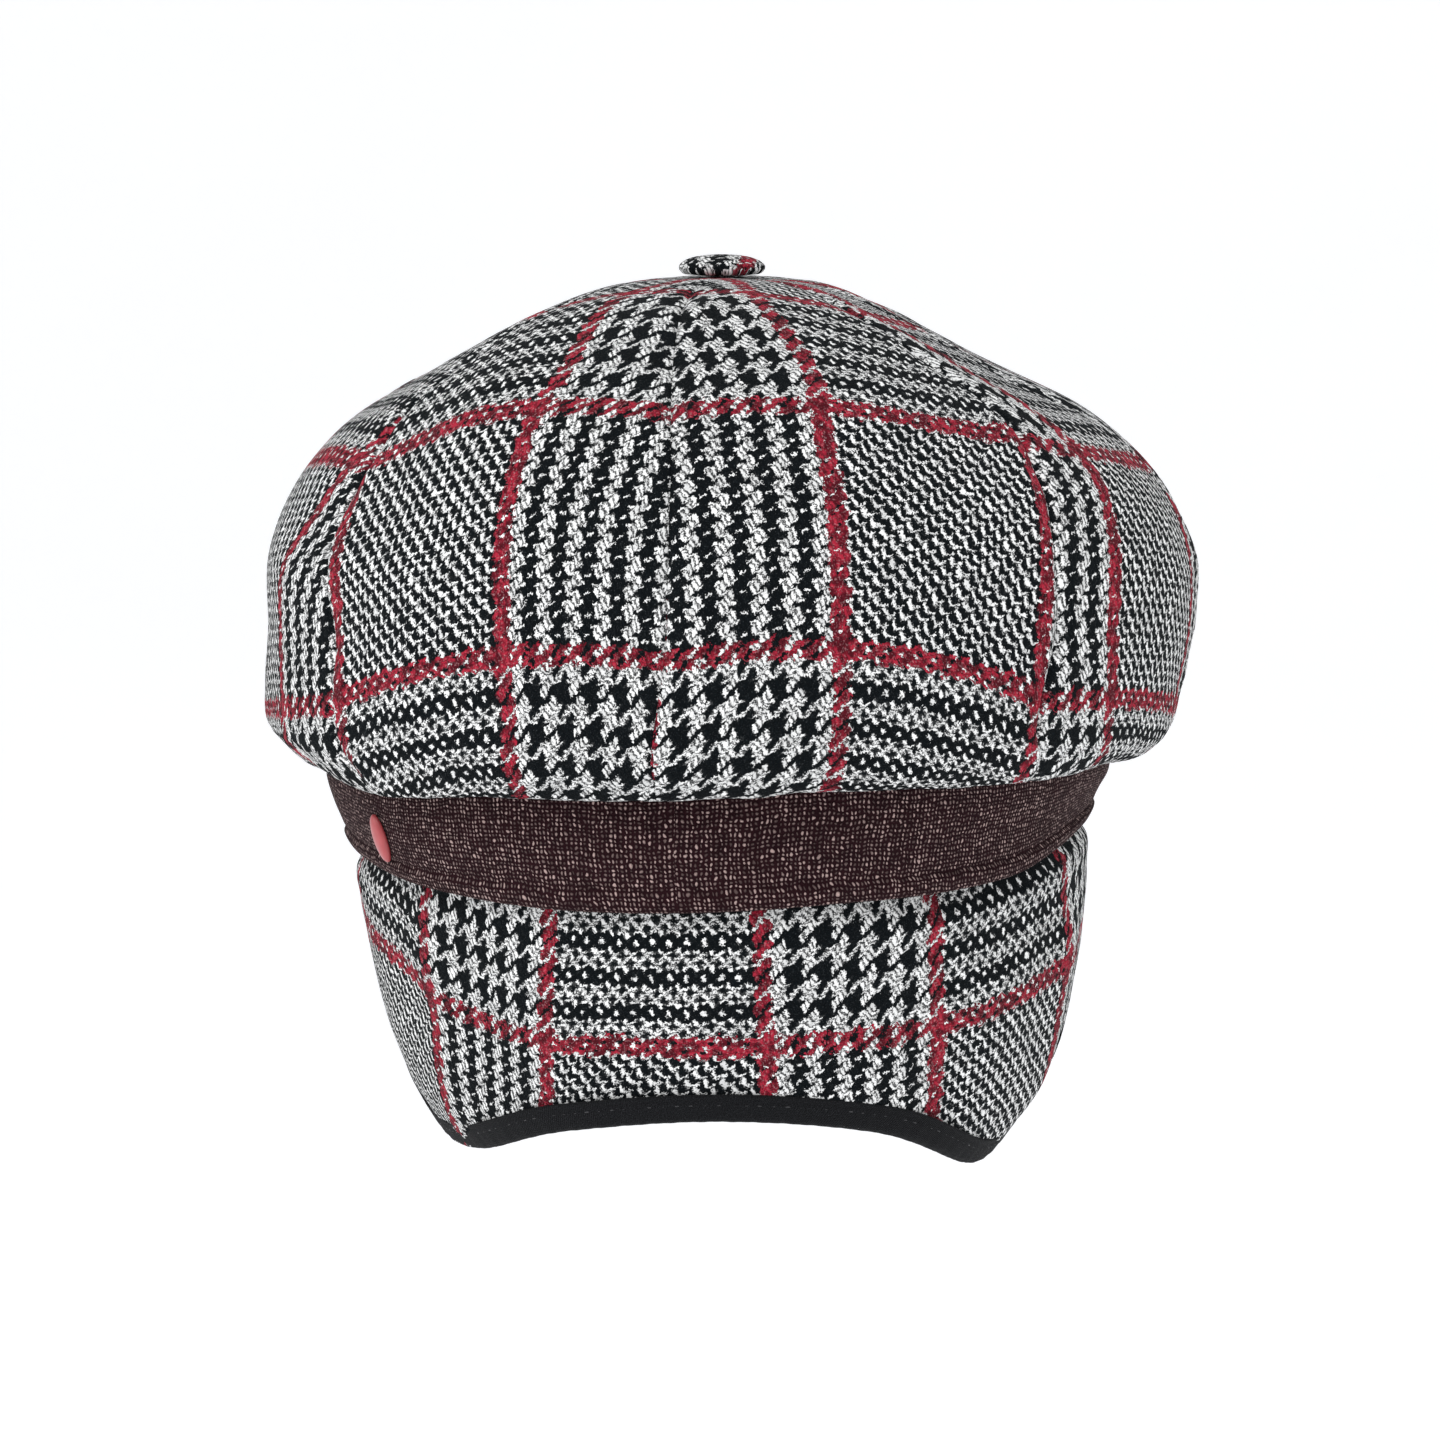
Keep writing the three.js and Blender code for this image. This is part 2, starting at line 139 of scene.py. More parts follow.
# The cap does not hang level: by turn, the band's edges lie higher than in its rings by these.
edge_lifts = Curves(
    "turn upper lower",
    [
        (-180, 0, 0), (-150, 0, -0.5), (-120, -0.8, -2), (-90, -0.5, -2.6), (-72, -0.2, -1.6),
        (-60, -1.4, -1.7), (-47, -3, -1.9), (-36, -1.8, -1.6), (-24, -0.6, -1.2), (0, 0, 0),
        (22, 1.7, 0.5), (40, 1.3, -0.6), (56, 1.4, -0.9), (66, 1.6, 1), (78, 0.8, 3.2),
        (90, -1, 4.4), (120, -0.5, 1.8), (150, 0, 0.3), (180, 0, 0),
    ],
)


def edge_lift(turn):
    return edge_lifts.at((np.asarray(turn, float) + 180) % 360 - 180)


def crown_point(run, turn):
    ring = crown_rings.at(run)
    point = ring_point(ring, turn)
    point[..., 2] += ring["lift"] * edge_lift(turn)["upper"]
    return point


def band_point(turn, level):
    level = np.broadcast_to(np.asarray(level, float), np.shape(turn))
    lift = edge_lift(turn)
    point = ring_point(band_rings.at(level), turn)
    point[..., 2] += lift["lower"] + (lift["upper"] - lift["lower"]) * level
    return point


print("crown cloth from the button to the band:", crown_rings.keys[-1], "mm")

# %% [markdown]
# ## Sheets of cloth
#
# Every cloth piece starts as a flat grid. One function says where each place of the grid goes in
# space, and a second one says which place of the weave it carries. A grid is better here than a
# sculpted shape, because the weave then follows the cloth as it does when panels are cut from a
# roll: straight down each panel, and never stretched over a curve by a projection.
#
# Small folds are added along the surface's own direction outwards, so a dent stays a dent wherever
# it lies on the cap.

# %% Helpers that make a sheet
def soft_noise(points, lump, seed):
    """Smooth noise from about -0.5 to 0.5 at points in millimetres, in lumps of about that size."""
    shift = Vector((17.3, 5.1, 9.7)) * seed
    return np.array([noise.noise(Vector(point) / lump + shift) for point in points])


def with_relief(surface, relief):
    """A surface function moved outwards by a relief function of (across, along, point)."""
    probe = 1e-4

    def place(across, along):
        side = surface(across + probe, along) - surface(across - probe, along)
        low = np.maximum(along - probe, 0)
        high = np.minimum(along + probe, 1)
        down = surface(across, high) - surface(across, low)
        normal = np.cross(down, side)
        normal /= np.linalg.norm(normal, axis=1, keepdims=True)
        point = surface(across, along)
        return point + normal * relief(across, along, point)[:, None]

    return place


def cloth_sheet(columns, rows, place, weave, closed=False, crowding=0):
    """A grid whose (across, along) places, 0 to 1, are put in space and mapped to the weave.

    With crowding, up to 1, its columns stand closer together near both sides.
    """
    sheet = bmesh.new()
    bmesh.ops.create_grid(sheet, x_segments=columns, y_segments=rows, size=0.5)
    flat = np.array([vertex.co[:2] for vertex in sheet.verts]) + 0.5
    across = flat[:, 0] - crowding * np.sin(2 * np.pi * flat[:, 0]) / (2 * np.pi)
    along = 1 - flat[:, 1]
    points = place(across, along) * MILLIMETRE
    threads = weave(across, along)
    layer = sheet.loops.layers.uv.new("weave")
    for face in sheet.faces:
        for corner in face.loops:
            corner[layer].uv = threads[corner.vert.index]
    for vertex, point in zip(sheet.verts, points):
        vertex.co = point
    if closed:
        bmesh.ops.remove_doubles(sheet, verts=sheet.verts, dist=1e-6)
    return sheet


def add_piece(name, form, finish, replaces=()):
    """Turns a finished bmesh into an object of the cap."""
    data = bpy.data.meshes.new(name)
    form.to_mesh(data)
    form.free()
    data.shade_smooth()
    data.materials.append(finish)
    piece = bpy.data.objects.new(name, data)
    bpy.context.scene.collection.objects.link(piece)
    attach(piece, "root")
    if replaces:
        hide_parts(*replaces)
    print(name, len(data.polygons), "faces")
    return piece


def add_wall(piece, thickness, offset=-1):
    """Gives a sheet its thickness in millimetres, inwards unless another offset is given."""
    wall = piece.modifiers.new("wall", "SOLIDIFY")
    wall.thickness = thickness * MILLIMETRE
    wall.offset = offset
    wall.use_even_offset = True


# %% [markdown]
# ## Shader maths that reads like Python
#
# A weave is arithmetic: which thread is this, is it over or under, what colour is it. In Blender
# that means dozens of Math nodes. Wrapping a socket in a small class lets Python's own operators
# add those nodes, so the weave below is written as formulas. Colours go through Mix nodes instead,
# because a Math node would turn them grey.

# %% Numbers and finishes
class Number:
    """A socket that carries one number."""

    def __init__(self, finish, socket):
        self.finish = finish
        self.socket = socket

    def __add__(self, other):
        return self.finish.maths("ADD", self, other)

    __radd__ = __add__

    def __sub__(self, other):
        return self.finish.maths("SUBTRACT", self, other)

    def __rsub__(self, other):
        return self.finish.maths("SUBTRACT", other, self)

    def __mul__(self, other):
        return self.finish.maths("MULTIPLY", self, other)

    __rmul__ = __mul__

    def __truediv__(self, other):
        return self.finish.maths("DIVIDE", self, other)

    def __mod__(self, other):
        return self.finish.maths("FLOORED_MODULO", self, other)

    def __lt__(self, other):
        return self.finish.maths("LESS_THAN", self, other)

    def __gt__(self, other):
        return self.finish.maths("GREATER_THAN", self, other)

    def floor(self):
        return self.finish.maths("FLOOR", self)

    def sine(self):
        return self.finish.maths("SINE", self)

    def cosine(self):
        return self.finish.maths("COSINE", self)

    def size(self):
        return self.finish.maths("ABSOLUTE", self)

    def root(self):
        return self.finish.maths("SQRT", self)

    def highest(self, other):
        return self.finish.maths("MAXIMUM", self, other)

    def clamped(self):
        return self.finish.maths("ADD", self, 0, clamp=True)

    def ramp(self, low, high):
        """Rises smoothly from 0 at low to 1 at high."""
        inputs = {"Value": self, "From Min": low, "From Max": high}
        node = self.finish.node("MapRange", {"interpolation_type": "SMOOTHSTEP"}, inputs)
        return Number(self.finish, node.outputs[0])


class Finish:
    """A procedural material while it is being made."""

    def __init__(self, name):
        self.material = bpy.data.materials.new(name)
        self.material.use_nodes = True
        self.tree = self.material.node_tree
        self.tree.nodes.clear()

    def node(self, kind, settings=None, inputs=None):
        """Adds a node: its settings are set first, then the values or links of its sockets."""
        node = self.tree.nodes.new("ShaderNode" + kind)
        for name, value in (settings or {}).items():
            setattr(node, name, value)
        for name, value in (inputs or {}).items():
            value = value.socket if isinstance(value, Number) else value
            if isinstance(value, bpy.types.NodeSocket):
                self.tree.links.new(value, node.inputs[name])
            else:
                node.inputs[name].default_value = value
        return node

    def maths(self, operation, *values, clamp=False):
        settings = {"operation": operation, "use_clamp": clamp}
        return Number(self, self.node("Math", settings, dict(enumerate(values))).outputs[0])

    def map_place(self, name):
        """The two coordinates of a UV map, as numbers."""
        place = self.node("UVMap", {"uv_map": name}).outputs["UV"]
        split = self.node("SeparateXYZ", inputs={0: place})
        return Number(self, split.outputs[0]), Number(self, split.outputs[1])

    def vector(self, x, y, z=0.0):
        return self.node("CombineXYZ", inputs={0: x, 1: y, 2: z}).outputs[0]

    def noise(self, place, scale, detail=0.0, roughness=0.5):
        """Three independent numbers of smooth noise, each about 0.5 on average."""
        inputs = {"Vector": place, "Scale": scale, "Detail": detail, "Roughness": roughness}
        cloud = self.node("TexNoise", inputs=inputs)
        split = self.node("SeparateColor", inputs={0: cloud.outputs["Color"]})
        return [Number(self, output) for output in split.outputs]

    def chance(self, place):
        """A number from 0 to 1 that is the same all over one cell of a whole-number place."""
        return Number(self, self.node("TexWhiteNoise", inputs={"Vector": place}).outputs["Value"])

    def blend(self, first, second, share, mode="MIX"):
        """A colour between two colours, or one multiplied by the other."""
        settings = {"data_type": "RGBA", "blend_type": mode}
        return self.node("Mix", settings, {0: share, 6: first, 7: second}).outputs[2]

    def surface(self, colour, roughness, height=None, depth=0.0005, **fixed):
        """Ends the material: a shader with this colour and roughness, and bumps if asked."""
        inputs = {"Base Color": colour, "Roughness": roughness}
        if height is not None:
            bump = {"Height": height, "Distance": depth, "Strength": 1.0}
            inputs["Normal"] = self.node("Bump", inputs=bump).outputs[0]
        shader = self.node("BsdfPrincipled", inputs={**inputs, **fixed})
        self.node("OutputMaterial", inputs={0: shader.outputs[0]})
        return self.material


CLOTH_GLOSS = {"Sheen Weight": 0.02, "Sheen Roughness": 0.4, "Specular IOR Level": 0.04}
print("shader maths ready")

# %% [markdown]
# ## The tweed
#
# The cloth is a two and two twill: each thread passes over two and under two, and each row of
# floats steps one thread to the right as it rises. The check comes from the order of light and dark
# threads alone, the same across and down: a wide block of fours, a narrow red line, a block of
# single light and dark threads, and another red line. Where fours cross fours they make broken
# checks, where fours cross singles they make stripes, and where singles cross they make fine steps.
#
# So the shader asks one question at each place: which of the two crossing threads is higher. Both
# rise and dip as waves with round backs, and the higher one shows its colour. Threads that lie four
# together crowd the single ones that cross them, so they rise a little more. Uneven spinning is
# noise in the threads' places and widths, and the red yarn is thicker and more raised than the rest.
# The colour also carries painted light: each yarn is painted darker towards its sides and where it
# dips under at a float's end, as painted shade in the gaps between threads, and its back is painted
# brighter as a painted highlight.

# %% The weave's counts
ENDS_IN_REPEAT = 100
WIDE_BLOCK = 44
RED_LINE = 4
END_WIDTH = 0.87
DRIFT = 1.9
TREMBLE = 0.9
FRAY = 1.1
LEAN = 0.3
YARN_RISE = {"wave": 0.9, "back": 0.4, "white": 0.13, "chance": 0.35}
WARP_FOURS_RISE = 0.45
WEFT_FOURS_RISE = 0.95
WHITE_YARN = (0.96, 0.965, 0.96, 1.0)
# BLACK_YARN is also the colour that white yarn is painted towards in the shaded gaps between threads and
# at its float ends.
BLACK_YARN = (0.0045, 0.0065, 0.0080, 1.0)
RED_YARN = (0.42, 0.024, 0.048, 1.0)
# DARK_AND_SHADED_RED_YARN: the red yarn's darker patches, and the painted shade towards the sides of red
# yarn.
DARK_AND_SHADED_RED_YARN = (0.10, 0.008, 0.015, 1.0)
PINK_FUZZ = (0.50, 0.24, 0.26, 1.0)
LINT = (0.12, 0.13, 0.135, 1.0)


def in_wide_block(count):
    """1 where the yarn with this count belongs to the block of fours, else 0."""
    return (count % ENDS_IN_REPEAT) < WIDE_BLOCK - 0.5


def yarn_white(count):
    """1 where the yarn with this count is white, else 0."""
    place = count % ENDS_IN_REPEAT
    wide = in_wide_block(count)
    fours = (place % 8) < 3.5
    singles = (place % 2) < 0.5
    return wide * fours + (1 - wide) * singles


def in_red_line(place, spread):
    """1 inside the red lines, which are a little wider than their yarns where spread is positive."""
    half = RED_LINE / 2 + 0.3 + spread
    first = ((place % ENDS_IN_REPEAT) - (WIDE_BLOCK + RED_LINE / 2)).size()
    second = ((place + RED_LINE) % ENDS_IN_REPEAT - RED_LINE / 2).size()
    return (first < half).highest(second < half)


def yarn_height(wave, across, white, chance):
    """How high a yarn stands where it weaves, from its middle to its side. White yarn is thicker."""
    back = (1 - across * across).highest(0).root() * YARN_RISE["back"] + white * YARN_RISE["white"]
    return wave * YARN_RISE["wave"] + back + chance * YARN_RISE["chance"]


# %% The tweed's material
def tweed_finish(name):
    cloth = Finish(name)
    u, v = cloth.map_place("weave")
    place = cloth.vector(u, v)
    drift = cloth.noise(place, 20, detail=1)
    tremble = cloth.noise(place, 80)
    fuzz = cloth.noise(place, 55, detail=1)
    fray = cloth.noise(place, 260)
    ends = u * ENDS_IN_REPEAT + (drift[0] - 0.5) * DRIFT + (tremble[0] - 0.5) * TREMBLE
    ends = ends + (fray[0] - 0.5) * FRAY
    picks = v * ENDS_IN_REPEAT + (drift[1] - 0.5) * DRIFT + (tremble[1] - 0.5) * TREMBLE
    picks = picks + (fray[1] - 0.5) * FRAY

    quarter = np.pi / 2
    leaning_ends = ends + ((picks - ends + 2.5) * quarter).sine() * LEAN
    leaning_picks = picks - ((ends - picks - 0.5) * quarter).sine() * LEAN
    end = leaning_ends.floor()
    pick = leaning_picks.floor()
    warp_across = ((leaning_ends - end) * 2 - 1).size()
    weft_across = ((leaning_picks - pick) * 2 - 1).size()
    warp_cycle = picks - end + 3
    weft_cycle = ends - pick
    warp_wave = ((warp_cycle % 4 - 1) * quarter).cosine()
    weft_wave = ((weft_cycle % 4 - 1) * quarter).cosine()
    warp_chance = cloth.chance(cloth.vector(end, (warp_cycle / 4).floor(), 1.0))
    weft_chance = cloth.chance(cloth.vector((weft_cycle / 4).floor(), pick, 2.0))
    weft_count = 0 - pick - 1
    warp_white = yarn_white(end)
    weft_white = yarn_white(weft_count)
    spread = (fuzz[2] - 0.5) * 2.4
    warp_red = in_red_line(leaning_ends, spread)
    weft_red = in_red_line(0 - leaning_picks, spread)

    red_lift = (fuzz[0] - 0.5) * 3 + 1.5
    warp_rise = in_wide_block(end) * WARP_FOURS_RISE + warp_red * red_lift
    weft_rise = in_wide_block(weft_count) * WEFT_FOURS_RISE + weft_red * red_lift
    warp_height = yarn_height(warp_wave, warp_across, warp_white, warp_chance) + warp_rise
    weft_height = yarn_height(weft_wave, weft_across, weft_white, weft_chance) + weft_rise
    warp_over = warp_height > weft_height
    weft_over = 1 - warp_over

    white = warp_over * warp_white + weft_over * weft_white
    red = (warp_over * warp_red + weft_over * weft_red).clamped()
    chance = warp_over * warp_chance + weft_over * weft_chance
    across = warp_over * warp_across + weft_over * weft_across
    wave = warp_over * warp_wave + weft_over * weft_wave
    # From here the colour carries painted light: round_back and float_end darken each yarn towards its
    # sides and where it dips under, as painted shade between the threads. shade is that painted shade,
    # with a painted highlight on the yarns' backs, and strand adds the yarns' own uneven tone along their
    # fibres and from float to float.
    round_back = 1 - across.ramp(0.4, 0.97)
    float_end = ((wave + 0.3) * 2).clamped()
    streak = cloth.vector(ends * (0.7 + warp_over * 1.5), picks * (2.2 - warp_over * 1.5))
    fibre = cloth.noise(streak, 1.6, detail=2, roughness=0.7)
    strand = (1.2 - fibre[0] * 0.48) * (0.77 + chance * 0.42)
    shade = (round_back * float_end * 0.97 + 0.03) * strand

    lint = (fibre[1] - 0.58).highest(0) * 1.1 + (fray[2] - 0.66).highest(0) * 1.5
    black = cloth.blend(BLACK_YARN, LINT, lint.clamped())
    # Where shade is low, white yarn fades to the black yarn's colour: painted shade in the gaps between
    # threads.
    yarn = cloth.blend(black, WHITE_YARN, (white * shade).clamped())
    # red_mottle_and_shade: random darker patches of the red yarn, times painted shade towards its sides.
    red_mottle_and_shade = fuzz[1].ramp(0.38, 0.62) * (0.4 + round_back * 0.6)
    red_yarn = cloth.blend(DARK_AND_SHADED_RED_YARN, RED_YARN, red_mottle_and_shade)
    red_yarn = cloth.blend(red_yarn, PINK_FUZZ, (fray[1] - 0.56).highest(0) * 2)
    yarn = cloth.blend(yarn, red_yarn, red)
    relief = round_back * float_end + red * 0.5 + fibre[0] * 0.3
    return cloth.surface(yarn, 0.9, relief, 0.0003, **CLOTH_GLOSS)


tweed = tweed_finish("tweed")
print("tweed nodes:", len(tweed.node_tree.nodes))

# %% [markdown]
# ## The crown's eight panels
#
# A soft crown of this kind is cut as eight leaf shapes that meet under a button. Each one is a
# sheet of its own here, pulled down a little into its seams, with small puckers where the sewing
# holds it and slow dents where the soft cloth gives way.
#
# A panel is cut flat, so its weave runs straight down its middle, and a straight thread across it
# lies further down at the seams than the ring of the crown does there. One table says by how much.
# The table of panels says where the red line down each panel lies and how closely the threads on
# both sides of it stand, because soft cloth gives way a little as it is sewn and worn.

# %% Sizes of the panels
seam_turns = [-2.5, 46.5, 90, 134, 177.5, 221, 265, 308.5, 357.5]
tip_run = 2.2
end_run = 195
panel_thickness = 2
panel_columns = 64
panel_rows = 120
pattern_runs = np.linspace(tip_run, end_run, panel_rows)

# Two seams bend away from their turns by these degrees.
right_seam = 1
left_seam = 7
seam_bends = Curves(
    "run right left",
    [
        (0, 3, 0), (60, 6, 0), (85, 8, 0), (105, 4.4, -0.5), (126, 0, -2.3),
        (145, -0.6, -0.7), (163, -0.6, 1.2), (172, 1.5, 3.5), (195, 7, 6),
    ],
)

# The red line down each panel: which end of the repeat it is, how far it lies from the panel's
# middle at some distances from the button, and how wide one end is on its left and its right there.
panel_lines = {
    1: (46, [
        (0, -3.2, 0.865, 0.95), (46, -3.2, 0.865, 0.95), (62, -2.1, 0.865, 0.96), (75, -1.7, 0.865, 0.97),
        (91, -4.2, 0.865, 1.0), (103, -6.8, 0.865, 1.01), (117, -8.2, 0.865, 1.0),
        (128, -9, 0.865, 0.975), (145, -8.2, 0.865, 0.93), (156, -6, 0.865, 0.925),
        (170, -4.6, 0.865, 0.92), (195, -4, 0.865, 0.92),
    ]),
    2: (46, [
        (0, -5.5, 0.87, 0.93), (85, -5.8, 0.87, 0.93), (94, -6.5, 0.87, 0.93), (101, -8.5, 0.87, 0.93),
        (110, -12, 0.87, 0.93), (121, -19, 0.87, 0.93), (132, -24.5, 0.87, 0.93),
        (143, -25.5, 0.87, 0.93), (155, -21.5, 0.87, 0.93), (168, -17.5, 0.87, 0.93),
        (180, -13, 0.87, 0.93), (195, -9, 0.87, 0.93),
    ]),
    3: (46, [(0, -6, 0.87, 0.9), (195, -6, 0.87, 0.9)]),
    4: (46, [(0, -24, 0.87, 0.87), (195, -24, 0.87, 0.87)]),
    5: (98, [(0, 24, 0.87, 0.87), (195, 24, 0.87, 0.87)]),
    6: (98, [(0, 6, 0.9, 0.87), (195, 6, 0.9, 0.87)]),
    7: (98, [
        (0, 34, 0.93, 0.87), (95, 34, 0.93, 0.87), (109, 28, 0.93, 0.87), (121, 22.5, 0.93, 0.87),
        (130, 15, 0.93, 0.87), (145, 11, 0.93, 0.87), (158, 14, 0.93, 0.87), (170, 18.3, 0.93, 0.87),
        (195, 18, 0.93, 0.87),
    ]),
    8: (98, [
        (0, 2.5, 0.95, 0.82), (50, 4, 0.95, 0.82), (72, 7.6, 0.96, 0.82), (80, 8.7, 0.96, 0.82),
        (95, 7.6, 0.95, 0.82), (116, 7.5, 0.97, 0.82), (122, 8.1, 0.995, 0.82), (130, 8.7, 1.03, 0.82),
        (137, 8.8, 1.015, 0.82), (146, 8.9, 1.01, 0.82), (155, 11, 1.01, 0.82), (161, 12.8, 1.01, 0.82),
        (173, 13.2, 0.955, 0.82), (183, 10.5, 0.95, 0.82), (195, 9, 0.95, 0.82),
    ]),
}

# Which thread across lies at each distance down the cloth from the button.
crown_picks = Curves(
    "run pick",
    [(0, 56), (39.5, 98), (90.2, 146), (144.2, 198), (180, 232), (195, 247)],
)

# Round the sides a distance down the cloth counts for less: by the first share on both sides, and
# by the second one more on the right and less on the left.
side_gain = 0.12
right_gain = -0.012

# How much further down a straight thread across lies at a panel's seams than in its middle: at the
# back seam, at the seams on the right and the left of it, and at the others.
seam_drops = Curves(
    "run back right left other",
    [
        (0, 0, 0, 0, 0), (40, 2.5, 2, 4, 4), (65, 2.7, -0.5, 6, 4), (91, 2.7, -2, 6.5, 3.5),
        (118, 3.2, 1.5, 4.5, 3.5), (145, 4, 4.2, 2, 3.4), (195, 4, 4.5, 4, 4),
    ],
)
seam_names = {0: "back", 8: "back", right_seam: "right", left_seam: "left"}


def seam_turn(index, run):
    bend = seam_bends.at(run)
    shift = bend["right"] * (index == right_seam) + bend["left"] * (index == left_seam)
    return seam_turns[index] + shift


def panel_turn(number, across, run):
    start = seam_turn(number - 1, run)
    return start + (seam_turn(number, run) - start) * across


def panel_cut(number):
    """A panel's half width in millimetres at the pattern's runs."""
    turns = np.linspace(seam_turns[number - 1], seam_turns[number], 13)
    runs, turns = np.meshgrid(pattern_runs, turns, indexing="ij")
    points = crown_point(runs, turns)
    return np.linalg.norm(np.diff(points, axis=1), axis=2).sum(axis=1) / 2


panel_cuts = {number: panel_cut(number) for number in panel_lines}
print("widest panel:", round(2 * panel_cuts[1].max(), 1), "mm")


# %% Folds of a panel
pillow_depth = 0.7
seam_fold = {"depth": 0.8, "width": 0.9}
turned_edge = {"rise": 0.3, "from_seam": 5, "width": 2.2}
pucker = {"rise": 0.9, "reach": 7, "lump": 9}
dent_sizes = [{"rise": 1.9, "lump": 48, "seed": 1}, {"rise": 0.8, "lump": 20, "seed": 2}]
gather = {"rise": 0.9, "run": 176, "width": 10, "lump": 8}


def hump(distance, width):
    """1 where the distance is none, and falling away over the width on both sides."""
    return np.exp(-((distance / width) ** 2))


# %% Shape and weave of a panel
def panel_surface(number):
    def surface(across, along):
        run = tip_run + (end_run - tip_run) * along
        return crown_point(run, panel_turn(number, across, run))

    return surface


def panel_relief(number):
    half_widths = panel_cuts[number]

    def relief(across, along, point):
        run = tip_run + (end_run - tip_run) * along
        from_middle = np.abs(2 * across - 1)
        from_seam = (1 - from_middle) * np.interp(run, pattern_runs, half_widths)
        fullness = np.sin(np.pi * np.minimum(1.06 * along, 1))
        open_cloth = np.clip((run - 12) / 40, 0, 1) * np.clip((186 - run) / 16, 0, 1)
        pillow = -pillow_depth * fullness * from_middle**4
        folds = -seam_fold["depth"] * hump(from_seam, seam_fold["width"])
        past_edge = from_seam - turned_edge["from_seam"]
        folds += turned_edge["rise"] * hump(past_edge, turned_edge["width"])
        pull = np.exp(-from_seam / pucker["reach"])
        folds += pucker["rise"] * pull * soft_noise(point, pucker["lump"], 3)
        for dent in dent_sizes:
            folds += dent["rise"] * soft_noise(point, dent["lump"], dent["seed"])
        long_point = point * [1, 1, 0.2]
        gathers = gather["rise"] * hump(run - gather["run"], gather["width"])
        gathers *= soft_noise(long_point, gather["lump"], 4)
        return pillow + folds * open_cloth + gathers

    return relief


def panel_weave(number):
    half_widths = panel_cuts[number]
    line_end, line_rows = panel_lines[number]
    line_places = Curves("run side left right", line_rows)
    middle = (seam_turns[number - 1] + seam_turns[number]) / 2
    half_span = (seam_turns[number] - seam_turns[number - 1]) / 2

    def weave(across, along):
        run = tip_run + (end_run - tip_run) * along
        turn = panel_turn(number, across, run)
        half = np.interp(run, pattern_runs, half_widths)
        share = (turn - middle) / half_span
        drops = seam_drops.at(run)
        left_drop = drops[seam_names.get(number - 1, "other")]
        right_drop = drops[seam_names.get(number, "other")]
        down = run - np.where(share < 0, left_drop, right_drop) * share**2
        sine = np.sin(np.radians(turn))
        down = down * (1 - side_gain * sine**2 - right_gain * sine)
        line = line_places.at(run)
        beyond = half * share - line["side"]
        ends = line_end + beyond / np.where(beyond < 0, line["left"], line["right"])
        picks = crown_picks.at(down)["pick"]
        return np.stack([ends, -picks], axis=1) / ENDS_IN_REPEAT

    return weave


# %% Make the eight panels
for number in panel_lines:
    shape = with_relief(panel_surface(number), panel_relief(number))
    form = cloth_sheet(panel_columns, panel_rows, shape, panel_weave(number), crowding=0.75)
    piece = add_piece(f"crown_cloth_{number}", form, tweed, [f"crown_panel_{number}"])
    add_wall(piece, panel_thickness)

# %% [markdown]
# ## The covered button
#
# The button is a flat dome with a scrap of the same cloth drawn round it. A profile spun about its
# axis gives the dome, and shallow pleats under its rim are where the cloth is gathered. Its weave is
# laid over it like a handkerchief over a ball: straight on top, and running down the sides.

# %% Button
button_radius = 9.8
button_end = 38
button_pick = 20
drawn_below = 4
pleats_below = 3
pleat_count = 14
pleat_depth = 0.05
button_profile = [
    (0, 4.5), (3, 4.4), (5.5, 4.1), (7.6, 3.5), (9.1, 2.7), (9.8, 1.8), (9.5, 0.8), (8.4, 0.1), (0, 0.1),
]
low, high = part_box("button")
button_middle = Vector(((low.x + high.x) / 2, (low.y + high.y) / 2, low.z))


def spun(profile, steps):
    """A closed round form from a profile of (radius, height) pairs that starts and ends on the axis."""
    form = bmesh.new()
    corners = [form.verts.new((radius, 0, height)) for radius, height in profile]
    for start, end in zip(corners, corners[1:]):
        form.edges.new((start, end))
    outline = form.verts[:] + form.edges[:]
    whole = {"angle": 2 * np.pi, "steps": steps, "use_merge": True}
    bmesh.ops.spin(form, geom=outline, axis=(0, 0, 1), cent=(0, 0, 0), **whole)
    bmesh.ops.remove_doubles(form, verts=form.verts, dist=1e-4)
    bmesh.ops.recalc_face_normals(form, faces=form.faces)
    return form


def make_button():
    form = spun(button_profile, 64)
    bmesh.ops.subdivide_edges(form, edges=form.edges, cuts=1, smooth=0.6, use_grid_fill=True)
    layer = form.loops.layers.uv.new("weave")
    for face in form.faces:
        for corner in face.loops:
            place = corner.vert.co
            reach = place.xy.length
            drawn = 1 + max(0, drawn_below - place.z) / max(reach, 1)
            ends = button_end + place.x * drawn / END_WIDTH
            picks = button_pick + place.y * drawn
            corner[layer].uv = (ends / ENDS_IN_REPEAT, picks / ENDS_IN_REPEAT)
    for vertex in form.verts:
        angle = np.arctan2(vertex.co.y, vertex.co.x)
        depth = max(0, pleats_below - vertex.co.z) / pleats_below
        depth *= min(vertex.co.xy.length / button_radius, 1)
        fold = (1 + np.cos(pleat_count * angle + 2 * np.sin(3 * angle))) / 2
        vertex.co.xy *= 1 - pleat_depth * depth * fold
    bmesh.ops.transform(form, matrix=Matrix.Scale(MILLIMETRE, 4), verts=form.verts)
    bmesh.ops.translate(form, vec=button_middle, verts=form.verts)
    return form


add_piece("button_cloth", make_button(), tweed, ["button"])

# %% [markdown]
# ## The band
#
# The band is a strip of thick basket cloth, dark red and brown with pale flecks. Its lower edge is
# turned up, and the turned part shows as a soft hem below a crease. The cloth is woven straight, so
# its threads simply follow the band round the head.

# %% The band's material
FLECK_PITCH = 1.03


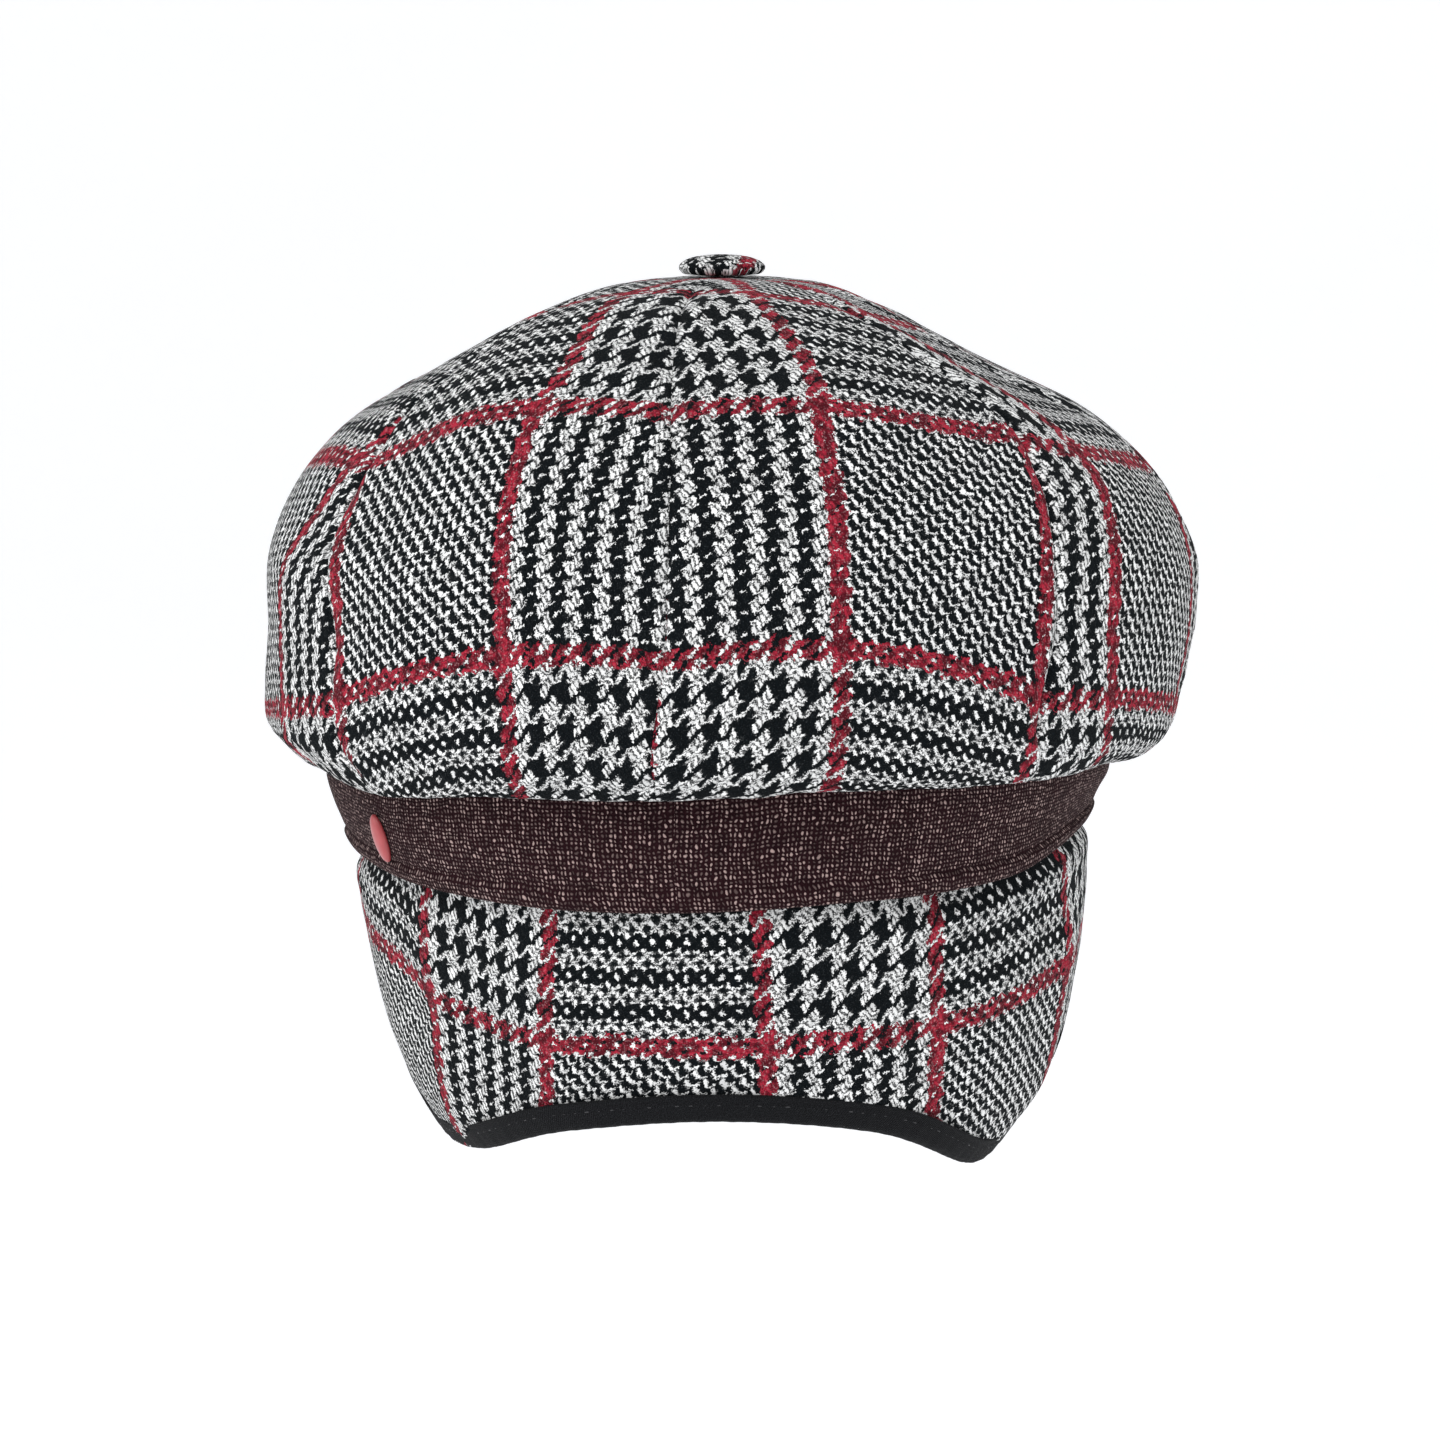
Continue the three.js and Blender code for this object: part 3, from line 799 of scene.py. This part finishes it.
def hopsack_finish(name):
    cloth = Finish(name)
    u, v = cloth.map_place("weave")
    place = cloth.vector(u, v)
    drift = cloth.noise(place, 12, detail=1)
    tremble = cloth.noise(place, 70)
    columns = u * (100 / FLECK_PITCH) + (drift[0] - 0.5) * 1.4 + (tremble[0] - 0.5) * 0.8
    rows = v * (100 / FLECK_PITCH) + (drift[1] - 0.5) * 1.4 + (tremble[1] - 0.5) * 0.8
    column = columns.floor()
    row = rows.floor()
    x = columns - column - 0.5
    y = rows - row - 0.5
    odd_column = column % 2
    odd_row = row % 2
    chance = cloth.chance(cloth.vector(column, row, 3.0))
    second = cloth.chance(cloth.vector(column, row, 4.0))
    width = 0.28 - odd_column * 0.08 + second * 0.1
    length = 0.36 - odd_row * 0.08 + chance * 0.1
    across = (x + y * 0.25) / width
    down = (y - x * 0.2) / length
    fleck = (1 - across * across - down * down).highest(0).root()
    grid_x = (x * np.pi).cosine()
    grid_y = (y * np.pi).cosine()
    fibre = cloth.noise(place, 420, detail=2, roughness=0.7)
    pale = (fleck * (0.16 + chance * chance * 1.2) * (0.5 + fibre[0])).clamped()
    warmth = cloth.noise(place, 25, detail=2)
    warm = (warmth[0] * 0.6 + fibre[1] * 0.5).clamped()
    ground = cloth.blend((0.004, 0.0022, 0.0028, 1.0), (0.030, 0.009, 0.012, 1.0), warm)
    colour = cloth.blend(ground, (0.47, 0.34, 0.32, 1.0), pale)
    height = grid_x * grid_y * 0.5 + fleck * 0.6 + fibre[2] * 0.25
    return cloth.surface(colour, 0.85, height, 0.0004, **CLOTH_GLOSS)


hopsack = hopsack_finish("hopsack")

# %% The band's shape
band_thickness = 2.2
hem_level = 0.21
hem_rise = 0.55
crease_depth = 0.8
rolled_depth = 0.9
wave_rise = 0.9
band_height = 26
band_columns = 360
band_rows = 40
band_turns = np.linspace(0, 360, 361)
band_middle = band_point(band_turns, 0.5)
band_arc = np.concatenate([[0], np.cumsum(np.linalg.norm(np.diff(band_middle, axis=0), axis=1))])


def band_surface(across, along):
    return band_point(360 * across, 1 - along)


def band_relief(across, along, point):
    level = 1 - along
    turn = 360 * across
    crease = 0.6 + 0.4 * np.sin(np.radians(turn)) ** 2
    groove = -crease_depth * crease * hump(level - hem_level, 0.035)
    hem = hem_rise * crease * np.clip((hem_level - level) / 0.06, 0, 1)
    rolled = -rolled_depth * np.clip((0.05 - level) / 0.05, 0, 1) ** 2
    waves = wave_rise * soft_noise(point * [1, 1, 0.5], 26, 6)
    return groove + hem + rolled + waves * np.sin(np.pi * np.clip(level, 0, 1))


def band_weave(across, along):
    arc = np.interp(360 * across, band_turns, band_arc)
    return np.stack([arc, band_height * (1 - along)], axis=1) / 100


shape = with_relief(band_surface, band_relief)
form = cloth_sheet(band_columns, band_rows, shape, band_weave, closed=True)
band = add_piece("band_cloth", form, hopsack, ["band"])
add_wall(band, band_thickness)
print("band length round the head:", round(band_arc[-1]), "mm")

# %% [markdown]
# ## The neck and ear flap
#
# One piece of the same tweed hangs from inside the band, round the neck and over the ears. It is
# pulled in under the back of the head, and it turns a soft corner behind each ear. Its threads run
# straight down from the band, so a thread keeps its distance from the middle of the back, measured
# along the cloth. Across, the check rises a little towards both sides, as the cloth was cut.

# %% Sizes of the flap
flap_rings = Curves(
    "rise half mid_x back front",
    [
        (-84, 51, 6, 64, 84),
        (-76, 58.3, 5.8, 70.5, 86),
        (-68, 65.1, 5.5, 76.8, 90),
        (-60, 70.7, 5.3, 83, 94),
        (-52, 75.1, 4.6, 87.6, 97),
        (-42, 78.4, 4.1, 92, 99),
        (-30, 81.4, 3.8, 96.8, 100.4),
        (-20, 83, 2.8, 99.6, 101.2),
        (-12, 83.6, 2.3, 100.8, 101.4),
        (-6, 83.7, 2.1, 101.6, 101.4),
        (-2, 81.2, 1.4, 100.7, 100.7),
        (0, 80.6, 1, 100.6, 100.6),
        (10, 80.4, 1, 100.6, 100.6),
    ],
)
flap_edge = Curves(
    "turn z",
    [
        (-126, -1), (-122, -12), (-112, -27), (-95, -50), (-75, -63), (-50, -63), (-22, -53), (4, -49),
        (30, -53.5), (57, -66.5), (76, -65.5), (95, -50), (112, -27), (122, -12), (126, -1),
    ],
)
flap_red = Curves(
    "turn z",
    [
        (-124, -6), (-90, -11.5), (-63.5, -19), (-52, -22.4), (-43, -27.6), (-34, -31), (-21, -33.2),
        (12, -32.7), (27, -31.8), (41, -30.4), (56, -27.2), (78, -21.5), (91, -14.8), (124, -8),
    ],
)
flap_ends = Curves(
    "arc end",
    [
        (-250, -200), (-190, -134), (-110, -46), (-68, -2), (-28.5, 46), (17.6, 98), (60, 146),
        (113, 198), (190, 280), (250, 344),
    ],
)
# Threads down the flap lean away from straight by these shares of their depth.
flap_leans = Curves(
    "arc lean",
    [(-190, 0), (-66, -0.04), (-28, -0.15), (17, -0.04), (60, -0.07), (190, 0)],
)
flap_top = 8
flap_thickness = 2
flap_reach = 126
arc_turns = np.linspace(-flap_reach, flap_reach, 253)


def flap_point(turn, height):
    ring = flap_rings.at(height - band_point(turn, 0)[..., 2])
    ring.update(mid_y=0, z_side=height, z_back=height, z_front=height)
    return ring_point(ring, turn)


def flap_arc(turn, height):
    """The distance along the cloth from the middle of the back, at each turn and height."""
    levels = np.linspace(-78, 16, 24)
    turns, heights = np.meshgrid(arc_turns, levels)
    steps = np.linalg.norm(np.diff(flap_point(turns, heights), axis=1), axis=2)
    arcs = np.concatenate([np.zeros((len(levels), 1)), np.cumsum(steps, axis=1)], axis=1)
    arcs -= arcs[:, [len(arc_turns) // 2]]
    by_level = np.array([np.interp(turn, arc_turns, row) for row in arcs])
    share = (height - levels[0]) / (levels[1] - levels[0])
    lower = np.clip(share.astype(int), 0, len(levels) - 2)
    pick = np.arange(len(turn))
    return by_level[lower, pick] * (1 - (share - lower)) + by_level[lower + 1, pick] * (share - lower)


def flap_place(across, along):
    turn = flap_reach * (2 * across - 1)
    top = band_point(turn, 0)[..., 2] + flap_top
    height = top + (flap_edge.at(turn)["z"] - top) * along
    return turn, height


# %% Shape and weave of the flap
flap_columns = 300
flap_rows = 70
flap_corners = [{"arc": -66, "rise": 1.5, "width": 9}, {"arc": 114, "rise": 1.3, "width": 10}]
flap_dents = [{"rise": 1.6, "lump": 30, "seed": 7}, {"rise": 0.5, "lump": 12, "seed": 8}]


def flap_surface(across, along):
    return flap_point(*flap_place(across, along))


def flap_relief(across, along, point):
    turn, height = flap_place(across, along)
    arc = flap_arc(turn, height)
    free = np.clip((-4 - height) / 14, 0, 1)
    relief = np.zeros_like(arc)
    for dent in flap_dents:
        relief += dent["rise"] * soft_noise(point, dent["lump"], dent["seed"])
    for corner in flap_corners:
        relief += corner["rise"] * hump(arc - corner["arc"], corner["width"])
    return relief * free


def flap_weave(across, along):
    turn, height = flap_place(across, along)
    arc = flap_arc(turn, height)
    depth = np.clip(-height, 0, None)
    ends = flap_ends.at(arc - flap_leans.at(arc)["lean"] * depth)["end"]
    picks = WIDE_BLOCK + RED_LINE / 2 + flap_red.at(turn)["z"] - height
    return np.stack([ends, -picks], axis=1) / ENDS_IN_REPEAT


form = cloth_sheet(flap_columns, flap_rows, with_relief(flap_surface, flap_relief), flap_weave)
flap = add_piece("flap_cloth", form, tweed, ["flap"])
add_wall(flap, flap_thickness)

# %% [markdown]
# ## The bound edge
#
# A black tape is folded over the flap's lower edge and sewn through with one row of small stitches.
# Its section is a narrow U. Sweeping the U along the edge is simple, because each place of
# the tape is so far past the cloth's edge and so far out from its face.

# %% The tape's material
def tape_finish(name):
    tape = Finish(name)
    u, v = tape.map_place("weave")
    ribs = (u * 900 + v * 500).sine()
    cross = (v * 1400).sine()
    fibre = tape.noise(tape.vector(u, v), 260, detail=3, roughness=0.7)
    dust = (fibre[1] - 0.62).highest(0) * 1.2
    faded = fibre[0].ramp(0.3, 0.75)
    colour = tape.blend((0.0035, 0.0037, 0.0043, 1.0), (0.020, 0.021, 0.023, 1.0), faded)
    colour = tape.blend(colour, (0.09, 0.09, 0.1, 1.0), dust.clamped())
    height = ribs * 0.3 + cross * 0.2 + fibre[0] * 0.6
    return tape.surface(colour, 0.7, height, 0.00018, **CLOTH_GLOSS)


tape_black = tape_finish("tape")

# %% The tape's shape
tape_thickness = 0.8
tape_width = 6
tape_gap = 0.45
tape_rise = tape_gap + tape_thickness / 2
tape_bend = flap_thickness / 2 + tape_rise
tape_ripple = 0.12
tape_map_length = 4.6
tape_map_width = 0.17
edge_probe = 0.01


def flap_directions(turn, height):
    """The flap's directions for one degree and for one millimetre up, and its normal."""
    side = flap_point(turn + edge_probe, height) - flap_point(turn - edge_probe, height)
    rise = flap_point(turn, height + edge_probe) - flap_point(turn, height - edge_probe)
    side /= 2 * edge_probe
    rise /= 2 * edge_probe
    normal = np.cross(side, rise)
    return side, rise, normal / np.linalg.norm(normal, axis=1, keepdims=True)


def edge_point(turn, past, out):
    """A place by its distance past the flap's edge, along the cloth, and out from its face."""
    height = flap_edge.at(turn)["z"]
    side, rise, normal = flap_directions(turn, height)
    ahead = np.minimum(turn + 1, flap_reach)
    behind = np.maximum(turn - 1, -flap_reach)
    run = flap_point(ahead, flap_edge.at(ahead)["z"]) - flap_point(behind, flap_edge.at(behind)["z"])
    down = np.cross(run, normal)
    down /= np.linalg.norm(down, axis=1, keepdims=True)
    side_side = (side * side).sum(axis=1)
    rise_rise = (rise * rise).sum(axis=1)
    shear = (side * rise).sum(axis=1)
    down_side = (down * side).sum(axis=1)
    down_rise = (down * rise).sum(axis=1)
    area = side_side * rise_rise - shear * shear
    turn_step = (down_side * rise_rise - down_rise * shear) / area
    height_step = (down_rise * side_side - down_side * shear) / area
    place_turn = turn + turn_step * past
    place_height = height + height_step * past
    lifted = flap_directions(place_turn, place_height)[2]
    return flap_point(place_turn, place_height) + lifted * out[:, None]


def tape_section(share):
    """Places round the U, from its outer upper edge to its inner one: past and out."""
    straight = tape_width - tape_rise
    bend = np.pi * tape_bend
    distance = share * (2 * straight + bend)
    angle = np.clip((distance - straight) / tape_bend, 0, np.pi)
    before = np.clip(straight - distance, 0, None)
    after = np.clip(distance - straight - bend, 0, None)
    past = tape_rise - tape_bend + tape_bend * np.sin(angle) - before - after
    out = -flap_thickness / 2 + tape_bend * np.cos(angle)
    upper = np.maximum(before, after) / straight
    pinch = 0.3 * upper**3 + 0.22 * hump(upper - 0.74, 0.1)
    return past, out - pinch * np.sign(np.cos(angle))


def tape_surface(across, along):
    turn = (flap_reach - 0.5) * (2 * across - 1)
    past, out = tape_section(along)
    ripple = tape_ripple * np.sin(turn * 1.9) * np.sin(turn * 0.7 + 1) * np.sin(np.pi * along)
    return edge_point(turn, past, out + ripple)


def tape_weave(across, along):
    return np.stack([across * tape_map_length, along * tape_map_width], axis=1)


form = cloth_sheet(420, 28, tape_surface, tape_weave)
bmesh.ops.reverse_faces(form, faces=form.faces)
tape = add_piece("flap_tape", form, tape_black, ["flap_binding"])
add_wall(tape, tape_thickness, offset=0)

# %% [markdown]
# ## Stitches
#
# One row of stitches holds the tape, and two rows run along the peak. A stitch is a short bead of
# thread that sinks into the cloth at both ends. Each one is the same small ball, stretched and
# turned into its place, and a whole row is joined into one mesh.

# %% Stitch helper
def stitch_row(places, normals, thickness):
    """A mesh of stitches, each from one place to a little short of the next one."""
    row = bmesh.new()
    for start, end, normal in zip(places, places[1:], normals):
        along = Vector(end - start)
        length = along.length
        along.normalize()
        outward = Vector(normal)
        sideways = outward.cross(along).normalized()
        outward = along.cross(sideways)
        middle = Vector((start + end) / 2)
        turned = Matrix((along, sideways, outward)).transposed().to_4x4()
        sized = Matrix.Diagonal((length * 0.40, thickness / 2, thickness / 2, 1))
        matrix = Matrix.Scale(MILLIMETRE, 4) @ Matrix.Translation(middle) @ turned @ sized
        bmesh.ops.create_icosphere(row, subdivisions=1, radius=1, matrix=matrix)
    return row


def thread_finish(name, colour):
    thread = Finish(name)
    place = thread.node("TexCoord").outputs["Object"]
    twist = thread.noise(place, 2600, detail=1)
    dark = tuple(0.5 * part for part in colour[:3]) + (1.0,)
    return thread.surface(thread.blend(dark, colour, twist[0]), 0.55, twist[1], 0.0001)


black_thread = thread_finish("black_thread", (0.03, 0.03, 0.033, 1.0))

# %% Stitches of the tape
tape_stitch = 3
tape_stitch_past = -3.9
tape_thread = 0.5
edge_turns = np.linspace(-flap_reach + 1, flap_reach - 1, 2001)
edge_depths = np.full(len(edge_turns), tape_stitch_past)
edge_line = edge_point(edge_turns, edge_depths, np.ones(len(edge_turns)))
edge_arc = np.concatenate([[0], np.cumsum(np.linalg.norm(np.diff(edge_line, axis=0), axis=1))])
stitch_turns = np.interp(np.arange(0, edge_arc[-1], tape_stitch), edge_arc, edge_turns)
stitch_depths = np.full(len(stitch_turns), tape_stitch_past)
stitch_places = edge_point(stitch_turns, stitch_depths, np.ones(len(stitch_turns)))
stitch_normals = flap_directions(stitch_turns, flap_edge.at(stitch_turns)["z"])[2]
form = stitch_row(stitch_places, stitch_normals, tape_thread)
add_piece("tape_stitches", form, black_thread)
print("bound edge:", round(edge_arc[-1]), "mm,", len(stitch_turns) - 1, "stitches")

# %% [markdown]
# ## The peak
#
# The short peak is a stiff crescent covered with the same tweed. From behind it is hidden, so its
# shape follows such caps in general: it slopes down from the band and bends over from side to side.
# Two rows of stitches follow its rounded edge.

# %% The peak's shape
peak_half_width = 78
peak_reach = 156
peak_fullness = 0.84
peak_root = 50
peak_span = 57
peak_sweep = 87
peak_slope = 0.42
peak_ease = 10
peak_sag = 6
peak_level = 4.6
peak_gap = 0.4
peak_round = 1.6
peak_width = 200
peak_columns = 160
peak_rows = 120
peak_end = 22
peak_pick = -60


def peak_surface(across, along):
    part = 1 - 2 * across
    root = band_point(180 - peak_span * part, 0.2)
    inner = root[:, :2] * (1 + peak_gap / np.linalg.norm(root[:, :2], axis=1))[:, None]
    sweep = np.radians(peak_sweep * np.clip(part, -1, 1))
    outer_x = peak_half_width * np.sign(part) * np.abs(np.sin(sweep)) ** peak_fullness
    outer_y = peak_root + (peak_reach - peak_root) * np.cos(sweep) ** peak_fullness
    outer = np.stack([outer_x, outer_y], axis=1)
    plan = inner + (outer - inner) * along[:, None]
    away = np.linalg.norm(plan - inner, axis=1)
    drop = peak_slope * away**2 / (away + peak_ease)
    bend = peak_sag * along**2 * (plan[:, 0] / peak_half_width) ** 2
    return np.column_stack([plan, peak_level - drop - bend])


def peak_along(around):
    """From the root to the rim over the first half and back over the second, crowded at both."""
    return 0.5 - 0.5 * np.cos(2 * np.pi * around)


def peak_shell(across, around):
    """The top for the first half and the underside for the second, with a rounded edge between."""
    along = peak_along(around)
    rim = peak_surface(across, np.ones_like(along))
    root = peak_surface(across, np.zeros_like(along))
    from_rim = np.minimum(along, 1 - along) * np.linalg.norm(rim - root, axis=1)
    from_end = np.minimum(across, 1 - across) * peak_width
    inside = np.clip(np.minimum(from_rim, from_end) / peak_round, 0, 1)
    roundness = np.sqrt(1 - (1 - inside) ** 2)
    depth = peak_round * (1 - roundness * np.where(around < 0.5, 1, -1))
    return with_relief(peak_surface, lambda *place: -depth)(across, along)


def peak_weave(across, around):
    place = peak_surface(across, peak_along(around))
    ends = peak_end + place[:, 0] / END_WIDTH
    picks = peak_pick + place[:, 1]
    return np.stack([ends, picks], axis=1) / ENDS_IN_REPEAT


form = cloth_sheet(peak_columns, peak_rows, peak_shell, peak_weave, closed=True, crowding=0.9)
add_piece("peak_cloth", form, tweed, ["peak"])

# %% Stitches of the peak
peak_stitch = 3.2
peak_thread = 0.55
thread_rise = [0, 0, 0.05]
thread_up = [0.0, 0.2, 1.0]
shares = np.linspace(0.03, 0.97, 1200)
for row, inset in enumerate((0.86, 0.93), start=1):
    line = peak_surface(shares, np.full(len(shares), inset)) + thread_rise
    arc = np.concatenate([[0], np.cumsum(np.linalg.norm(np.diff(line, axis=0), axis=1))])
    marks = np.interp(np.arange(0, arc[-1], peak_stitch), arc, shares)
    places = peak_surface(marks, np.full(len(marks), inset)) + thread_rise
    form = stitch_row(places, np.tile(thread_up, (len(places), 1)), peak_thread)
    add_piece(f"peak_stitches_{row}", form, black_thread)

# %% [markdown]
# ## The stud
#
# A small red stud sits on the left of the band. It is a plain oval with a domed enamel face.
# It sits at a given turn and level of the band, in place of its CAD solid, and a spun profile of the same
# size gives it a smooth face.

# %% Stud
def enamel_finish(name):
    enamel = Finish(name)
    place = enamel.node("TexCoord").outputs["Object"]
    cloud = enamel.noise(place, 500, detail=2)
    colour = enamel.blend((0.36, 0.045, 0.052, 1.0), (0.46, 0.07, 0.075, 1.0), cloud[0])
    return enamel.surface(colour, 0.32 + cloud[1] * 0.16, cloud[2], 0.00008, **{"Coat Weight": 0.25})


stud_turn = -51
stud_level = 0.46
stud_half_width = 2.7
stud_half_height = 5.6
stud_lift = 0.3
stud_profile = [
    (0, 0), (2.62, 0), (2.7, 0.35), (2.62, 0.75), (2.35, 1.15), (1.8, 1.45), (1.0, 1.64), (0, 1.7),
]


def make_stud():
    form = spun(stud_profile, 48)
    stretch = Matrix.Diagonal((1, stud_half_height / stud_half_width, 1, 1))
    turns = np.array([0, 0, -1, 1, 0]) + stud_turn
    levels = np.array([-0.1, 0.1, 0, 0, 0]) + stud_level
    below, above, before, after, middle = (Vector(point) for point in band_point(turns, levels))
    upward = (above - below).normalized()
    sideways = (after - before).normalized()
    outward = sideways.cross(upward).normalized()
    sideways = upward.cross(outward)
    turned = Matrix((sideways, upward, outward)).transposed().to_4x4()
    place = Matrix.Translation(middle + outward * stud_lift)
    matrix = Matrix.Scale(MILLIMETRE, 4) @ place @ turned @ stretch
    bmesh.ops.transform(form, matrix=matrix, verts=form.verts)
    bmesh.ops.recalc_face_normals(form, faces=form.faces)
    return form


add_piece("stud_face", make_stud(), enamel_finish("red_enamel"), ["stud"])

# %% [markdown]
# ## Floor, light and camera
#
# The cap hangs as it does on a head, with nothing inside it, above a pale floor that curves up into
# the background. The light is the soft, even light of a product photograph: a bright surround, a
# large lamp above the camera and a weaker one on each side. The camera looks at the back of the cap
# from slightly above, a little round to the wearer's right.

# %% Floor
floor_height = -0.4
floor_start = -4
floor_length = 12
wall_distance = 4
floor_bend = 1.5
floor_half_width = 8


def backdrop_point(across, along):
    """The floor runs back from behind the camera, bends, and rises as a wall."""
    distance = floor_start + floor_length * along
    flat = wall_distance - floor_bend
    angle = np.clip((distance - flat) / floor_bend, 0, np.pi / 2)
    rise = np.clip(distance - flat - floor_bend * np.pi / 2, 0, None)
    y = np.minimum(distance, flat) + floor_bend * np.sin(angle)
    z = floor_height + floor_bend * (1 - np.cos(angle)) + rise
    return np.stack([floor_half_width * (2 * across - 1), y, z], axis=1) / MILLIMETRE


form = cloth_sheet(2, 96, backdrop_point, lambda across, along: np.stack([across, along], axis=1))
backdrop_mesh = bpy.data.meshes.new("backdrop")
form.to_mesh(backdrop_mesh)
form.free()
backdrop_mesh.shade_smooth()
backdrop = bpy.data.objects.new("backdrop", backdrop_mesh)
bpy.context.scene.collection.objects.link(backdrop)
pale = Finish("pale_floor")
tone = pale.noise(pale.node("TexCoord").outputs["Object"], 3, detail=2)
pale_colour = pale.blend((0.90, 0.90, 0.91, 1.0), (0.93, 0.93, 0.94, 1.0), tone[0])
pale_light = {"Emission Color": (0.98, 0.985, 1.0, 1.0), "Emission Strength": 0.29}
backdrop_mesh.materials.append(pale.surface(pale_colour, 0.9, **pale_light))

# %% Lights and world
def soft_lamp(name, place, aim, size, power):
    lamp = bpy.data.lights.new(name, "AREA")
    lamp.shape = "DISK"
    lamp.size = size
    lamp.energy = power
    holder = bpy.data.objects.new(name, lamp)
    holder.location = place
    holder.rotation_euler = (Vector(aim) - Vector(place)).to_track_quat("-Z", "Y").to_euler()
    bpy.context.scene.collection.objects.link(holder)


cap_middle = (0, 0, 0.03)
surround_colour = (0.98, 0.99, 1.0, 1.0)
surround_strength = 0.62
soft_lamp("lamp_above", (-0.5, -1.3, 1.5), cap_middle, 1.0, 17)
soft_lamp("lamp_left", (-1.7, -0.6, 0.4), cap_middle, 0.9, 6)
soft_lamp("lamp_right", (1.7, -0.6, 0.5), cap_middle, 0.9, 5)
world = bpy.data.worlds.new("surround")
world.use_nodes = True
background = world.node_tree.nodes["Background"]
background.inputs["Color"].default_value = surround_colour
background.inputs["Strength"].default_value = surround_strength
bpy.context.scene.world = world
bpy.context.scene.view_settings.view_transform = "Standard"

# %% Camera
camera_azimuth = np.radians(5)
camera_elevation = np.radians(6.75)
camera_distance = 1.3
camera_target = Vector((0.0015, 0, 0.0267))
focal_pixels = 5655
frame_pixels = 1440
back = Vector(
    (
        np.sin(camera_azimuth) * np.cos(camera_elevation),
        -np.cos(camera_azimuth) * np.cos(camera_elevation),
        np.sin(camera_elevation),
    )
)
camera_data = bpy.data.cameras.new("camera")
camera_data.sensor_width = 36
camera_data.lens = camera_data.sensor_width * focal_pixels / frame_pixels
camera = bpy.data.objects.new("camera", camera_data)
camera.location = camera_target + back * camera_distance
camera.rotation_euler = (-back).to_track_quat("-Z", "Y").to_euler()
bpy.context.scene.collection.objects.link(camera)
bpy.context.scene.camera = camera

# %% Finish
bpy.context.view_layer.update()
